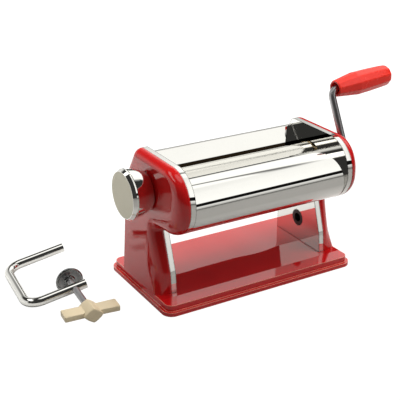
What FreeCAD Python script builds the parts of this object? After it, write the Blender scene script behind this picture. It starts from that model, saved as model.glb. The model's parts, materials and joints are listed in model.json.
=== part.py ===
"""Hand-cranked pasta roller machine with its table clamp.

Millimetres. The origin is under the middle of the base, on the table: +X runs along the rollers towards
the crank, +Y away from the user and +Z up.
"""
import FreeCAD, Part
import math
import os
import Sketcher
from FreeCAD import Placement, Rotation, Vector

SIZES = {
    # Fits
    "running_fit": 0.05,
    "free_gap": 0.35,
    "seat_gap": 0.02,
    # Base tray and feet
    "base_overhang": 23.5,
    "base_width": 120,
    "base_lift": 0.8,
    "base_height": 9.8,
    "base_corner": 10,
    "base_sheet": 1.2,
    "lip_height": 4,
    "lip_step": 3,
    "foot_radius": 8,
    "foot_taper": 1.5,
    "foot_inset": 18,
    # Side plates: distances before and behind the middle, and rises and drops from the roller axis
    "web_gap": 165,
    "plate_sheet": 1.5,
    "flange_width": 5.5,
    "toe_front": 35.5,
    "shin_front": 34,
    "shin_height": 30,
    "shin_round": 25,
    "neck_front": 19.5,
    "neck_round": 5,
    "chin_drop": 32.8,
    "nose_front": 72.4,
    "nose_round": 31.2,
    "crown_rise": 30,
    "crown_rear": 19.5,
    "crown_round": 6,
    "shoulder_rear": 38.5,
    "shoulder_drop": 2.3,
    "shoulder_round": 14,
    # End covers: how the outline of the outer face draws in from the side plate's
    "cover_depth_top": 9.7,
    "cover_depth_foot": 15.5,
    "cover_wall": 1.8,
    "face_toe_inset": 5.5,
    "face_shin_inset": 24,
    "face_shin_height": 40,
    "face_shin_round": 35,
    "face_neck_inset": 6.5,
    "face_neck_rise": 6.5,
    "face_neck_round": 12,
    "face_nose_inset": 17.4,
    "face_chin_rise": 22.5,
    "face_chin_round": 10,
    "face_crown_drop": 6.3,
    "face_nose_round": 14,
    "face_crown_inset": 6.5,
    "face_crown_round": 6,
    "face_shoulder_inset": 8.5,
    "face_shoulder_drop": 3,
    "face_shoulder_round": 12,
    "face_heel_inset": 5.5,
    "boss_radius": 3.6,
    "boss_front_inset": 9.4,
    "boss_front_drop": 8.3,
    "boss_rear_inset": 9.5,
    # Housing sheets
    "shell_lead": 4.6,
    "shell_drop": 7.3,
    "shell_clear": 1.07,
    "shell_sheet": 0.9,
    "shell_mouth": 140,
    "hem_radius": 0.9,
    "sheet_low_gap": 2.6,
    "sheet_low_rise": 5.7,
    "sheet_top_step": 2,
    "sheet_top_drop": 5.1,
    "back_inset": 2.5,
    "back_shoulder_rise": 0.5,
    "back_low_drop": 30.3,
    "back_toe_inset": 16.5,
    # Rollers and gears
    "roller_radius": 13.4,
    "roller_height": 108.3,
    "idler_front": 11.5,
    "open_gap": 2.6,
    "gap_travel": 2.2,
    "roller_end_gap": 2.2,
    "journal_radius": 6,
    "journal_reach": 5,
    "gear_addendum": 2.3,
    "gear_dedendum": 2.5,
    "gear_face": 5,
    "gear_offset": 4.6,
    "tooth_tip": 2.2,
    "tooth_root": 3.2,
    "bush_wall": 1.6,
    "bush_flange": 2.2,
    "bush_flange_thick": 1.2,
    "circlip_width": 1,
    "circlip_wall": 1.8,
    # Fasteners
    "screw_radius": 1.5,
    "screw_head": 2.8,
    "screw_head_thick": 1.8,
    "base_screw_radius": 2,
    "base_screw_head": 3.8,
    "base_screw_head_thick": 2.6,
    "rod_radius": 4,
    "rod_thread": 2.5,
    "rod_reach": 7.5,
    "nut_radius": 4.6,
    "nut_thick": 4,
    "rod_rear_inset": 13.5,
    "rod_upper_rise": 3.7,
    "rod_lower_drop": 22.3,
    "rod_front_lead": 11.1,
    "bar_length": 50,
    "bar_width": 11,
    "bar_thick": 4,
    "bar_upright": 20,
    # Regulator
    "slide_half": 7,
    "slide_plate": 10.5,
    "slide_plate_thick": 1.2,
    "link_lag": 16.5,
    "link_drop": 12.3,
    "link_radius": 2.5,
    "scraper_sheet": 1,
    "scraper_margin": 3,
    "cam_radius": 19.5,
    "cam_thick": 3.2,
    "cam_offset": 4.6,
    "cam_start": 13,
    "cam_turn": 270,
    "groove_depth": 2,
    "follower_radius": 1.5,
    "shaft_radius": 4.5,
    "knob_front_face": 41,
    "knob_radius": 23.7,
    "knob_rim": 5.2,
    "knob_bevel": 1.9,
    "knob_bevel_depth": 3.2,
    "knob_waist": 18.2,
    "knob_shoulder": 23.2,
    "knob_clear": 1.4,
    "knob_neck_round": 30,
    "knob_neck_swell": 0.9,
    "face_inset": 2.2,
    "face_thick": 1.2,
    "detent_sheet": 0.6,
    "detent_width": 5,
    "detent_lug": 3,
    # Crank
    "crank_rod": 3.6,
    "crank_plane": 24,
    "crank_bend": 9,
    "crank_throw": 69.7,
    "crank_lean": 26.6,
    "crank_tip": 2.6,
    "crank_depth": 14,
    "grip_start": 5.5,
    "grip_length": 67.5,
    "grip_tilt": 4.5,
    "grip_mouth": 7.6,
    "grip_neck": 9,
    "grip_swell": 11.2,
    "grip_waist": 10.8,
    "grip_tail": 10,
    "grip_nose": 7.5,
    "grip_wall": 4,
    "grip_recess": 5.6,
    "grip_recess_depth": 6,
    # Clamp, lying on the table
    "socket_rear": 3,
    "socket_height": 34.5,
    "socket_radius": 8.4,
    "clamp_rod": 4.5,
    "clamp_play": 0.3,
    "clamp_left": 204.3,
    "clamp_rear": 60.5,
    "clamp_yaw": -5.4,
    "clamp_span": 81.8,
    "clamp_upper": 60.4,
    "clamp_lower": 57.4,
    "clamp_bend": 15,
    "clamp_axis": 45.8,
    "disc_radius": 13.4,
    "disc_thick": 3,
    "disc_stud": 4.2,
    "disc_stud_thick": 3,
    "disc_set": 13.4,
    "thread_radius": 3.2,
    "wing_start": 36,
    "wing_hub": 7.2,
    "wing_hub_length": 21,
    "wing_span": 54,
    "wing_width": 15,
    "wing_thick": 5.5,
}
TEETH = 12
DETENTS = 9
GRIP_FACETS = 10
GROOVE_ARCS = 3
# Where the grip's radii stand, as shares of its length.
GRIP_SHARES = (0.0, 0.12, 0.36, 0.7, 0.93, 1.0)
# Depth of each cover section, as a share of the cover's depth; the outline follows a quarter ellipse.
COVER_SHARES = (0.0, 0.5, 0.8, 0.95, 1.0)
# How each corner of a cover's outline moves per unit of wall: along Y, along Z and in its radius.
COVER_INWARD = (
    (1, 1), (1, 0, 0), (1, 1, 1), (1, 1, -1), (1, -1, -1), (-0.6, -1, -1), (-1, -0.4, -1), (-1, 1),
)


class Size:
    """A length that carries its number and the expression that gives it."""

    def __init__(self, number, text):
        self.number = float(number)
        self.text = text

    @staticmethod
    def of(value):
        """Turn a plain number into a size."""
        if isinstance(value, Size):
            return value
        return Size(value, f"({value:.9g})")

    def joined(self, other, sign, number):
        """Write two sizes with a sign between them."""
        return Size(number, f"({self.text} {sign} {Size.of(other).text})")

    def __add__(self, other):
        return self.joined(other, "+", self.number + Size.of(other).number)

    def __sub__(self, other):
        return self.joined(other, "-", self.number - Size.of(other).number)

    def __mul__(self, other):
        return self.joined(other, "*", self.number * Size.of(other).number)

    def __truediv__(self, other):
        return self.joined(other, "/", self.number / Size.of(other).number)

    def __neg__(self):
        return Size(-self.number, f"(-{self.text})")

    def __radd__(self, other):
        return Size.of(other) + self

    def __rsub__(self, other):
        return Size.of(other) - self

    def __rmul__(self, other):
        return Size.of(other) * self

    def beside(self, other):
        """The long side of a right triangle whose short sides are the two sizes."""
        return Size(math.hypot(self.number, other.number), f"hypot({self.text}; {other.text})")


class Sheet:
    """The driving dimensions by name."""

    def __getattr__(self, name):
        return Size(SIZES[name], f"Sizes.{name}")


doc = FreeCAD.newDocument("PastaMachine")
sheet = doc.addObject("Spreadsheet::Sheet", "Sizes")
for row, (alias, number) in enumerate(SIZES.items(), start=1):
    sheet.set(f"A{row}", alias)
    sheet.set(f"B{row}", str(number))
    sheet.setAlias(f"B{row}", alias)
doc.recompute()
S = Sheet()
NODES = {}
ALONG = {
    "X": Rotation(Vector(0, 1, 0), 90),
    "Y": Rotation(Vector(1, 0, 0), -90),
    "Z": Rotation(),
}
SIDES = {"left": -1, "right": 1}

# Places that several pieces share
table_top = S.base_lift + S.base_height
web = S.web_gap / 2
web_out = web + S.plate_sheet
flange = web + S.flange_width
drive_front = S.idler_front + 2 * S.roller_radius + S.open_gap
roller_half = web - S.roller_end_gap
gear_tip = S.roller_radius + S.gear_addendum
gear_root = S.roller_radius - S.gear_dedendum
axis_height = S.roller_height
chin = axis_height - S.chin_drop
crown = axis_height + S.crown_rise
shoulder = axis_height - S.shoulder_drop
rod_rear = S.shoulder_rear - S.rod_rear_inset
rod_upper = axis_height + S.rod_upper_rise
rod_lower = axis_height - S.rod_lower_drop
rod_front = drive_front + S.rod_front_lead
link_rear = S.link_lag - S.idler_front
link_height = axis_height - S.link_drop


def bind(item, name, size):
    """Tie a property to the sheet."""
    size = Size.of(size)
    item.setExpression(name, size.text)


def place(item, start, turn=Rotation()):
    """Put an object at a point, with its coordinates tied to the sheet."""
    start = [Size.of(value) for value in start]
    item.Placement = Placement(Vector(*[value.number for value in start]), turn)
    for axis, value in zip("xyz", start):
        bind(item, f"Placement.Base.{axis}", value)
    return item


def cylinder(radius, length, start, along="X"):
    """A round bar from its start point along one axis."""
    bar = doc.addObject("Part::Cylinder", "Bar")
    bind(bar, "Radius", radius)
    bind(bar, "Height", length)
    return place(bar, start, ALONG[along])


def cone(low, high, length, start, along="X"):
    """A tapered bar from its start point along one axis."""
    bar = doc.addObject("Part::Cone", "Taper")
    bind(bar, "Radius1", low)
    bind(bar, "Radius2", high)
    bind(bar, "Height", length)
    return place(bar, start, ALONG[along])


def box(low, sides, turn=Rotation()):
    """A block from its low corner."""
    block = doc.addObject("Part::Box", "Block")
    for name, size in zip(("Length", "Width", "Height"), sides):
        bind(block, name, size)
    return place(block, low, turn)


def hexagon(radius, length, start):
    """A hexagon bar along X."""
    prism = doc.addObject("Part::Prism", "Hexagon")
    prism.Polygon = 6
    bind(prism, "Circumradius", radius)
    bind(prism, "Height", length)
    return place(prism, start, ALONG["X"])


def group(items):
    """Separate solids in one object."""
    bundle = doc.addObject("Part::Compound", "Group")
    bundle.Links = items
    return bundle


def fuse(items):
    """Several solids made one."""
    joined = doc.addObject("Part::MultiFuse", "Joined")
    joined.Shapes = items
    joined.Refine = True
    return joined


def common(items):
    """What several solids share."""
    shared = doc.addObject("Part::MultiCommon", "Shared")
    shared.Shapes = items
    return shared


def cut(base, tools):
    """A solid with tools taken out of it."""
    rest = doc.addObject("Part::Cut", "Rest")
    rest.Base = base
    rest.Tool = tools[0] if len(tools) == 1 else group(tools)
    return rest


def mirrored(item):
    """The same solid on the other side of the machine."""
    twin = doc.addObject("Part::Mirroring", "Twin")
    twin.Source = item
    twin.Normal = Vector(1, 0, 0)
    return twin


def node(name, item):
    """Name a finished piece."""
    item.Label = name
    NODES[name] = item
    return item


def sketch_at(placement):
    """A free sketch in the plane of a placement."""
    sketch = doc.addObject("Sketcher::SketchObject", "Outline")
    sketch.Placement = placement
    return sketch


def body_sketch(body, role, offset=0):
    """A sketch on one of a body's own planes, moved along the plane's normal."""
    sketch = body.newObject("Sketcher::SketchObject", "Outline")
    plane = next(item for item in body.Origin.OriginFeatures if item.Role == role)
    sketch.AttachmentSupport = [(plane, "")]
    sketch.MapMode = "FlatFace"
    bind(sketch, "AttachmentOffset.Base.z", offset)
    return sketch


def pin_down(sketch, geometry, point, corner):
    """Hold a sketch point at a corner's coordinates."""
    for kind, size in zip(("DistanceX", "DistanceY"), corner):
        size = Size.of(size)
        index = sketch.addConstraint(Sketcher.Constraint(kind, -1, 1, geometry, point, size.number))
        bind(sketch, f"Constraints[{index}]", size)


def rounding(before, corner, after, radius):
    """The centre and the two tangent points of a rounded corner."""
    inward = (before - corner).normalize()
    outward = (after - corner).normalize()
    half = inward.getAngle(outward) / 2
    reach = radius / math.tan(half)
    centre = corner + (inward + outward).normalize() * (radius / math.sin(half))
    return centre, corner + inward * reach, corner + outward * reach


def draw(sketch, corners, closed=True):
    """Draw an outline through (first, second, radius) corners; no radius leaves a corner sharp."""
    corners = [corner if len(corner) == 3 else (*corner, None) for corner in corners]
    count = len(corners)
    points = [Vector(Size.of(c[0]).number, Size.of(c[1]).number, 0) for c in corners]
    ends = []
    for index, (point, corner) in enumerate(zip(points, corners)):
        if corner[2] is None:
            ends.append((None, point, point))
        else:
            after = points[(index + 1) % count]
            ends.append(rounding(points[index - 1], point, after, Size.of(corner[2]).number))
    runs = count if closed else count - 1
    lines = []
    for index in range(runs):
        start = ends[index][2]
        finish = ends[(index + 1) % count][1]
        lines.append(sketch.addGeometry(Part.LineSegment(start, finish)))
    for index, corner in enumerate(corners):
        first = not closed and index == 0
        last = not closed and index == count - 1
        if first or last:
            line, point = (lines[0], 1) if first else (lines[-1], 2)
            pin_down(sketch, line, point, corner[:2])
            continue
        line_in = lines[index - 1]
        line_out = lines[index % runs]
        if corner[2] is None:
            sketch.addConstraint(Sketcher.Constraint("Coincident", line_in, 2, line_out, 1))
            pin_down(sketch, line_out, 1, corner[:2])
            continue
        round_corner(sketch, ends[index], corner, line_in, line_out)
    return sketch


def round_corner(sketch, end, corner, line_in, line_out):
    """Add one tangent arc whose sharp corner stays where the sheet puts it."""
    centre, start, finish = end
    radius = Size.of(corner[2])
    first = math.atan2(start.y - centre.y, start.x - centre.x)
    last = math.atan2(finish.y - centre.y, finish.x - centre.x)
    left_turn = (last - first) % (2 * math.pi) < math.pi
    angles = (first, last) if left_turn else (last, first)
    circle = Part.Circle(centre, Vector(0, 0, 1), radius.number)
    arc = sketch.addGeometry(Part.ArcOfCircle(circle, *angles))
    enters, leaves = (1, 2) if left_turn else (2, 1)
    sketch.addConstraint(Sketcher.Constraint("Tangent", line_in, 2, arc, enters))
    sketch.addConstraint(Sketcher.Constraint("Tangent", arc, leaves, line_out, 1))
    index = sketch.addConstraint(Sketcher.Constraint("Radius", arc, radius.number))
    bind(sketch, f"Constraints[{index}]", radius)
    place_of = Vector(Size.of(corner[0]).number, Size.of(corner[1]).number, 0)
    tip = sketch.addGeometry(Part.Point(place_of), True)
    sketch.addConstraint(Sketcher.Constraint("PointOnObject", tip, 1, line_in))
    sketch.addConstraint(Sketcher.Constraint("PointOnObject", tip, 1, line_out))
    pin_down(sketch, tip, 1, corner[:2])


def disc(sketch, centre, radius):
    """Draw a circle whose centre and radius follow the sheet."""
    middle = Vector(*[Size.of(value).number for value in centre], 0)
    circle = sketch.addGeometry(Part.Circle(middle, Vector(0, 0, 1), Size.of(radius).number))
    index = sketch.addConstraint(Sketcher.Constraint("Radius", circle, Size.of(radius).number))
    bind(sketch, f"Constraints[{index}]", radius)
    pin_down(sketch, circle, 3, centre)
    return sketch


def rectangle(half_length, half_width, corner):
    """Corners of a rounded rectangle about the middle."""
    signs = ((-1, -1), (1, -1), (1, 1), (-1, 1))
    return [(half_length * a, half_width * b, corner) for a, b in signs]


def feature(body, kind, sketch, length, reverse=False):
    """A pad or pocket of a sketch."""
    made = body.newObject(f"PartDesign::{kind}", kind)
    made.Profile = sketch
    bind(made, "Length", length)
    made.Reversed = reverse
    return made


def extruded(sketch, half):
    """A closed sketch in the YZ plane run both ways along X."""
    run = doc.addObject("Part::Extrusion", "Run")
    run.Base = sketch
    run.DirMode = "Custom"
    run.Dir = Vector(1, 0, 0)
    run.Solid = True
    run.Symmetric = True
    bind(run, "LengthFwd", half * 2)
    return run


YZ = Placement(Vector(), Rotation(Vector(0, 1, 0), Vector(0, 0, 1), Vector(1, 0, 0), "ZXY"))


def bent_sheet(corners, thickness, half):
    """Sheet metal bent along a path in the YZ plane."""
    path = draw(sketch_at(YZ), corners, closed=False)
    strip = doc.addObject("Part::Offset2D", "Strip")
    strip.Source = path
    strip.Mode = "Skin"
    strip.Fill = True
    bind(strip, "Value", thickness)
    return extruded(strip, half)


def build_base():
    """The pressed tray, its rubber feet and the screws that hold the legs."""
    half_length = web + S.base_overhang
    half_width = S.base_width / 2
    body = doc.addObject("PartDesign::Body", "Tray")
    lip = draw(body_sketch(body, "XY_Plane", S.base_lift), rectangle(half_length, half_width, S.base_corner))
    feature(body, "Pad", lip, S.lip_height)
    step = rectangle(half_length - S.lip_step, half_width - S.lip_step, S.base_corner - S.lip_step)
    top = draw(body_sketch(body, "XY_Plane", S.base_lift), step)
    pad = feature(body, "Pad", top, S.base_height)
    doc.recompute()
    inset = S.lip_step + S.base_sheet
    hollow = rectangle(half_length - inset, half_width - inset, S.base_corner - inset)
    under = draw(body_sketch(body, "XY_Plane", S.base_lift), hollow)
    feature(body, "Pocket", under, S.base_height - S.base_sheet, reverse=True)
    doc.recompute()
    if body.Shape.Volume > 0.6 * pad.Shape.Volume:
        raise RuntimeError("The tray is not hollow")
    spots = foot_screw_spots()
    holes = [cylinder(S.base_screw_radius + S.free_gap, S.base_height * 2, (x, y, 0), "Z") for x, y in spots]
    node("base_plate", cut(body, holes))
    feet = []
    under_top = table_top - S.base_sheet
    for x in (-1, 1):
        for y in (-1, 1):
            spot = ((half_length - S.foot_inset) * x, (half_width - S.foot_inset) * y, 0)
            feet.append(cone(S.foot_radius, S.foot_radius - S.foot_taper, under_top, spot, "Z"))
    node("rubber_feet", group(feet))
    screws = []
    for x, y in spots:
        head_low = under_top - S.base_screw_head_thick
        head = cylinder(S.base_screw_head, S.base_screw_head_thick, (x, y, head_low), "Z")
        shank_length = S.base_screw_head_thick + S.base_sheet + S.plate_sheet + S.bar_thick
        screws.append(fuse([head, cylinder(S.base_screw_radius, shank_length, (x, y, head_low), "Z")]))
    node("base_screws", group(screws))


def foot_screw_spots():
    """Where the base screws stand, two under each leg."""
    along = flange + S.base_screw_head
    front = S.bar_length / 4
    middle = (S.shoulder_rear - S.toe_front) / 2
    return [(along * side, middle + front * end) for side in SIDES.values() for end in (-1, 1)]


def plate_profile():
    """Outline of a side plate in Y and Z."""
    foot = table_top
    return [
        (-S.toe_front, foot),
        (-S.shin_front, S.shin_height, S.shin_round),
        (-S.neck_front, chin, S.neck_round),
        (-S.nose_front, chin, S.nose_round),
        (-S.nose_front, crown, S.nose_round),
        (S.crown_rear, crown, S.crown_round),
        (S.shoulder_rear, shoulder, S.shoulder_round),
        (S.shoulder_rear, foot),
    ]


def face_profile():
    """Outline of a cover's outer face, corner by corner like the side plate's."""
    foot = table_top
    nose = S.nose_front - S.face_nose_inset
    top = crown - S.face_crown_drop
    back = S.shoulder_rear - S.face_shoulder_inset
    return [
        (S.face_toe_inset - S.toe_front, foot),
        (S.face_shin_inset - S.shin_front, S.face_shin_height, S.face_shin_round),
        (S.face_neck_inset - S.neck_front, chin + S.face_neck_rise, S.face_neck_round),
        (-nose, chin + S.face_chin_rise, S.face_chin_round),
        (-nose, top, S.face_nose_round),
        (S.crown_rear - S.face_crown_inset, top, S.face_crown_round),
        (back, shoulder - S.face_shoulder_drop, S.face_shoulder_round),
        (S.shoulder_rear - S.face_heel_inset, foot),
    ]


def rod_spots():
    """Where the tie rods run."""
    return [(rod_rear, rod_upper), (rod_rear, rod_lower), (-rod_front, rod_lower)]


def boss_spots():
    """Where the cover screws run: one in the nose, one half way between the rear tie rods."""
    front = (S.boss_front_inset - S.nose_front, axis_height - S.boss_front_drop)
    rear = (S.shoulder_rear - S.boss_rear_inset, (rod_upper + rod_lower) / 2)
    return [front, rear]


def build_side_plates():
    """Two pressed pans whose flanges turn outwards, with the foot bars inside them."""
    pans = {}
    for name, side in SIDES.items():
        body = doc.addObject("PartDesign::Body", f"{name}_pan")
        outline = draw(body_sketch(body, "YZ_Plane", web * side), plate_profile())
        pad = feature(body, "Pad", outline, S.flange_width, reverse=side < 0)
        doc.recompute()
        faces = pad.Shape.Faces
        outer = max(range(len(faces)), key=lambda index: faces[index].CenterOfMass.x * side)
        shell = body.newObject("PartDesign::Thickness", "Pan")
        shell.Base = (pad, [f"Face{outer + 1}"])
        shell.Join = 1
        shell.Reversed = True
        bind(shell, "Value", S.plate_sheet)
        doc.recompute()
        if body.Shape.Volume > 0.6 * pad.Shape.Volume:
            raise RuntimeError("The pan is not hollow")
        pans[name] = body
    through = S.flange_width * 2
    for name, side in SIDES.items():
        start = (web - S.flange_width) if side > 0 else -(web + S.flange_width)
        holes = [cylinder(S.rod_thread + S.seat_gap, through, (start, y, z)) for y, z in rod_spots()]
        holes += [cylinder(S.screw_radius + S.seat_gap, through, (start, y, z)) for y, z in boss_spots()]
        bush = S.journal_radius + S.bush_wall + S.seat_gap
        holes.append(cylinder(bush, through, (start, -drive_front, S.roller_height)))
        slot = S.slide_half + S.free_gap
        low = (start, -S.idler_front - slot - S.gap_travel, S.roller_height - slot)
        holes.append(box(low, (through, slot * 2 + S.gap_travel, slot * 2)))
        if name == "right":
            spot = (start, S.socket_rear, S.socket_height)
            holes.append(cylinder(S.socket_radius + S.seat_gap, through, spot))
        node(f"{name}_side_plate", cut(pans[name], holes))
    bars = []
    middle = (S.shoulder_rear - S.toe_front) / 2
    for side in SIDES.values():
        low_y = middle - S.bar_length / 2
        shelf_low = table_top + S.plate_sheet
        reach = S.bar_width
        start = web_out if side > 0 else -(web_out + reach)
        shelf = box((start, low_y, shelf_low), (reach, S.bar_length, S.bar_thick))
        upright_start = web_out if side > 0 else -(web_out + S.bar_thick / 2)
        upright = box((upright_start, low_y, shelf_low), (S.bar_thick / 2, S.bar_length, S.bar_upright))
        spots = [spot for spot in foot_screw_spots() if spot[0].number * side > 0]
        tap = S.base_screw_radius + S.seat_gap
        taps = [cylinder(tap, S.base_height * 3, (x, y, 0), "Z") for x, y in spots]
        socket = cylinder(S.socket_radius + S.seat_gap, reach * 2, (start, S.socket_rear, S.socket_height))
        bars.append(cut(fuse([shelf, upright]), taps + ([socket] if side > 0 else [])))
    node("foot_bars", group(bars))


def blend(first, second, weight):
    """A corner part of the way from one outline to another."""
    parts = []
    for one, other in zip(first, second):
        parts.append(Size.of(one) + (Size.of(other) - one) * weight)
    return tuple(parts)


def cover_section(share, inset=0):
    """One section of the right cover: its plane leans in a little towards the crown."""
    drop = (S.cover_depth_foot - S.cover_depth_top).number / (crown - table_top).number
    lean = math.atan(share * drop)
    reach = S.cover_depth_top.number + drop * crown.number
    up = Vector(-math.sin(lean), 0, math.cos(lean))
    turn = Rotation(Vector(0, 1, 0), up, Vector(1, 0, 0), "XYZ")
    sketch = sketch_at(Placement(Vector(flange.number + share * reach, 0, 0), turn))
    weight = 1 - math.sqrt(1 - share * share)
    foot = table_top + S.seat_gap * 3
    corners = []
    for one, other, inward in zip(plate_profile(), face_profile(), COVER_INWARD):
        corner = blend(one, other, weight)
        if len(corner) == 2:
            corner = (corner[0], foot)
        corners.append(tuple(part + inset * sign for part, sign in zip(corner, inward)))
    return draw(sketch, corners)


def loft(sections):
    """A smooth solid through sections."""
    made = doc.addObject("Part::Loft", "Bulge")
    made.Sections = sections
    made.Solid = True
    made.Ruled = False
    return made


def build_covers():
    """Two bulged covers that close the side plates, with screw bosses inside."""
    sections = [cover_section(share) for share in COVER_SHARES]
    blank = loft(sections)
    doc.recompute()
    cavity = loft([cover_section(share, S.cover_wall) for share in COVER_SHARES[:-2]])
    deep = S.cover_depth_foot * 2
    bosses = [cylinder(S.boss_radius, deep, (flange, y, z)) for y, z in boss_spots()]
    shell = cut(blank, [cavity])
    right_shell = fuse([shell, common([group(bosses), blank])])
    sole_front = S.toe_front - S.face_toe_inset - S.cover_wall * 2
    sole_rear = S.shoulder_rear - S.face_heel_inset - S.cover_wall * 2
    low = (flange - 1, -sole_front, 0)
    sole = box(low, (S.bar_width, sole_front + sole_rear, table_top + S.cover_wall * 2))
    taps = [cylinder(S.screw_radius + S.seat_gap, S.cover_depth_top - S.cover_wall + 1, (flange - 1, y, z))
            for y, z in boss_spots()]
    open_shell = cut(right_shell, [sole] + taps)
    crank_hole = cylinder(S.journal_radius + S.free_gap, deep, (flange, -drive_front, S.roller_height))
    socket_hole = cylinder(S.socket_radius + S.seat_gap, deep, (flange, S.socket_rear, S.socket_height))
    node("right_end_cover", cut(open_shell, [crank_hole, socket_hole]))
    bush = S.shaft_radius + S.bush_wall + S.seat_gap
    knob_hole = cylinder(bush, deep, (-(flange + deep), -S.idler_front, S.roller_height))
    node("left_end_cover", cut(mirrored(open_shell), [knob_hole]))
    screws = []
    shank = S.plate_sheet + S.flange_width
    for y, z in boss_spots():
        start = web - S.screw_head_thick
        head = cylinder(S.screw_head, S.screw_head_thick, (start, y, z))
        screw = fuse([head, cylinder(S.screw_radius, S.screw_head_thick + shank, (start, y, z))])
        screws += [screw, mirrored(screw)]
    node("cover_screws", group(screws))


def build_housing():
    """The chrome front shell, the feed sheet with the rear cover, the tie rods and the front scraper."""
    half = web - S.seat_gap
    first = math.radians(S.shell_mouth.number / 2)
    radius = S.shell_lead.beside(S.shell_drop) + S.roller_radius + S.shell_clear + S.shell_sheet
    shell_y = -(drive_front + S.shell_lead)
    shell_z = axis_height - S.shell_drop
    across = Vector(0, math.cos(first), math.sin(first))
    turn = Rotation(across, Vector(), Vector(1, 0, 0), "ZXY")
    outer = doc.addObject("Part::Cylinder", "Shell")
    bind(outer, "Radius", radius)
    bind(outer, "Height", half * 2)
    bind(outer, "Angle", 360 - S.shell_mouth)
    place(outer, (-half, shell_y, shell_z), turn)
    bore = cylinder(radius - S.shell_sheet, half * 4, (-half * 2, shell_y, shell_z))
    hems = []
    reach = radius - S.hem_radius
    for sign in (-1, 1):
        y = shell_y + reach * math.cos(first)
        z = shell_z + reach * (sign * math.sin(first))
        hems.append(cylinder(S.hem_radius, half * 2, (-half, y, z)))
    node("front_shell", fuse([cut(outer, [bore])] + hems))
    sheet_low = S.roller_radius + S.sheet_low_gap - S.idler_front
    back = S.shoulder_rear - S.back_inset
    back_low = axis_height - S.back_low_drop
    path = [
        (sheet_low, axis_height + S.sheet_low_rise),
        (S.crown_rear + S.sheet_top_step, crown - S.sheet_top_drop, S.shell_sheet * 3),
        (back, shoulder + S.back_shoulder_rise, S.shoulder_round),
        (back, back_low, S.shell_sheet * 4),
        (S.shoulder_rear - S.back_toe_inset, back_low),
    ]
    node("rear_cover", bent_sheet(path, S.shell_sheet, half))
    rods = []
    nuts = []
    for y, z in rod_spots():
        reach = web + S.rod_reach
        spacer = cylinder(S.rod_radius, S.web_gap, (-web, y, z))
        rods.append(fuse([spacer, cylinder(S.rod_thread, reach * 2, (-reach, y, z))]))
        blank = hexagon(S.nut_radius, S.nut_thick, (web_out, y, z))
        nut = cut(blank, [cylinder(S.rod_thread + S.seat_gap, S.nut_thick, (web_out, y, z))])
        nuts += [nut, mirrored(nut)]
    node("tie_rods", group(rods))
    node("tie_rod_nuts", group(nuts))
    node("front_scraper", scraper((-rod_front, rod_lower), S.rod_radius + S.seat_gap, -drive_front))


def scraper(foot, foot_radius, roller_y):
    """A blade that stands on a rod and reaches the roller's skin, square to both."""
    y, z = foot
    rise = math.atan2((S.roller_height - z).number, (roller_y - y).number)
    away = math.hypot((S.roller_height - z).number, (roller_y - y).number)
    length = away - foot_radius.number - (S.roller_radius + S.free_gap).number
    start = foot_radius.number
    half = roller_half - S.scraper_margin
    low = (-half,
           y + start * math.cos(rise) + S.scraper_sheet / 2 * math.sin(rise),
           z + start * math.sin(rise) - S.scraper_sheet / 2 * math.cos(rise))
    return box(low, (half * 2, length, S.scraper_sheet), Rotation(Vector(1, 0, 0), math.degrees(rise)))


def gear(y):
    """A spur gear with long teeth, which stay in mesh as the rollers part."""
    body = doc.addObject("PartDesign::Body", "Gear")
    feature(body, "Pad", disc(body_sketch(body, "YZ_Plane"), (0, 0), gear_root), S.gear_face)
    inner = gear_root - 1
    corners = [
        (inner, -S.tooth_root / 2),
        (gear_tip, -S.tooth_tip / 2),
        (gear_tip, S.tooth_tip / 2),
        (inner, S.tooth_root / 2),
    ]
    tooth = feature(body, "Pad", draw(body_sketch(body, "YZ_Plane"), corners), S.gear_face)
    doc.recompute()
    ring = body.newObject("PartDesign::PolarPattern", "Teeth")
    ring.Originals = [tooth]
    axis = next(item for item in body.Origin.OriginFeatures if item.Role == "X_Axis")
    ring.Axis = (axis, [""])
    ring.Angle = 360
    ring.Occurrences = TEETH
    body.Tip = ring
    start = web_out + S.gear_offset - S.plate_sheet
    return place(body, (start, y, S.roller_height))


def ring(outer, inner, length, start):
    """A washer or sleeve along X."""
    span = [Size.of(value) for value in start]
    bore = cylinder(inner, length, span)
    return cut(cylinder(outer, length, span), [bore])


def roller(y, left_end, right_end):
    """A steel roller with a journal at each end."""
    z = S.roller_height
    barrel = cylinder(S.roller_radius, roller_half * 2, (-roller_half, y, z))
    journal = cylinder(S.journal_radius, left_end + right_end, (-left_end, y, z))
    return fuse([barrel, journal])


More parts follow.
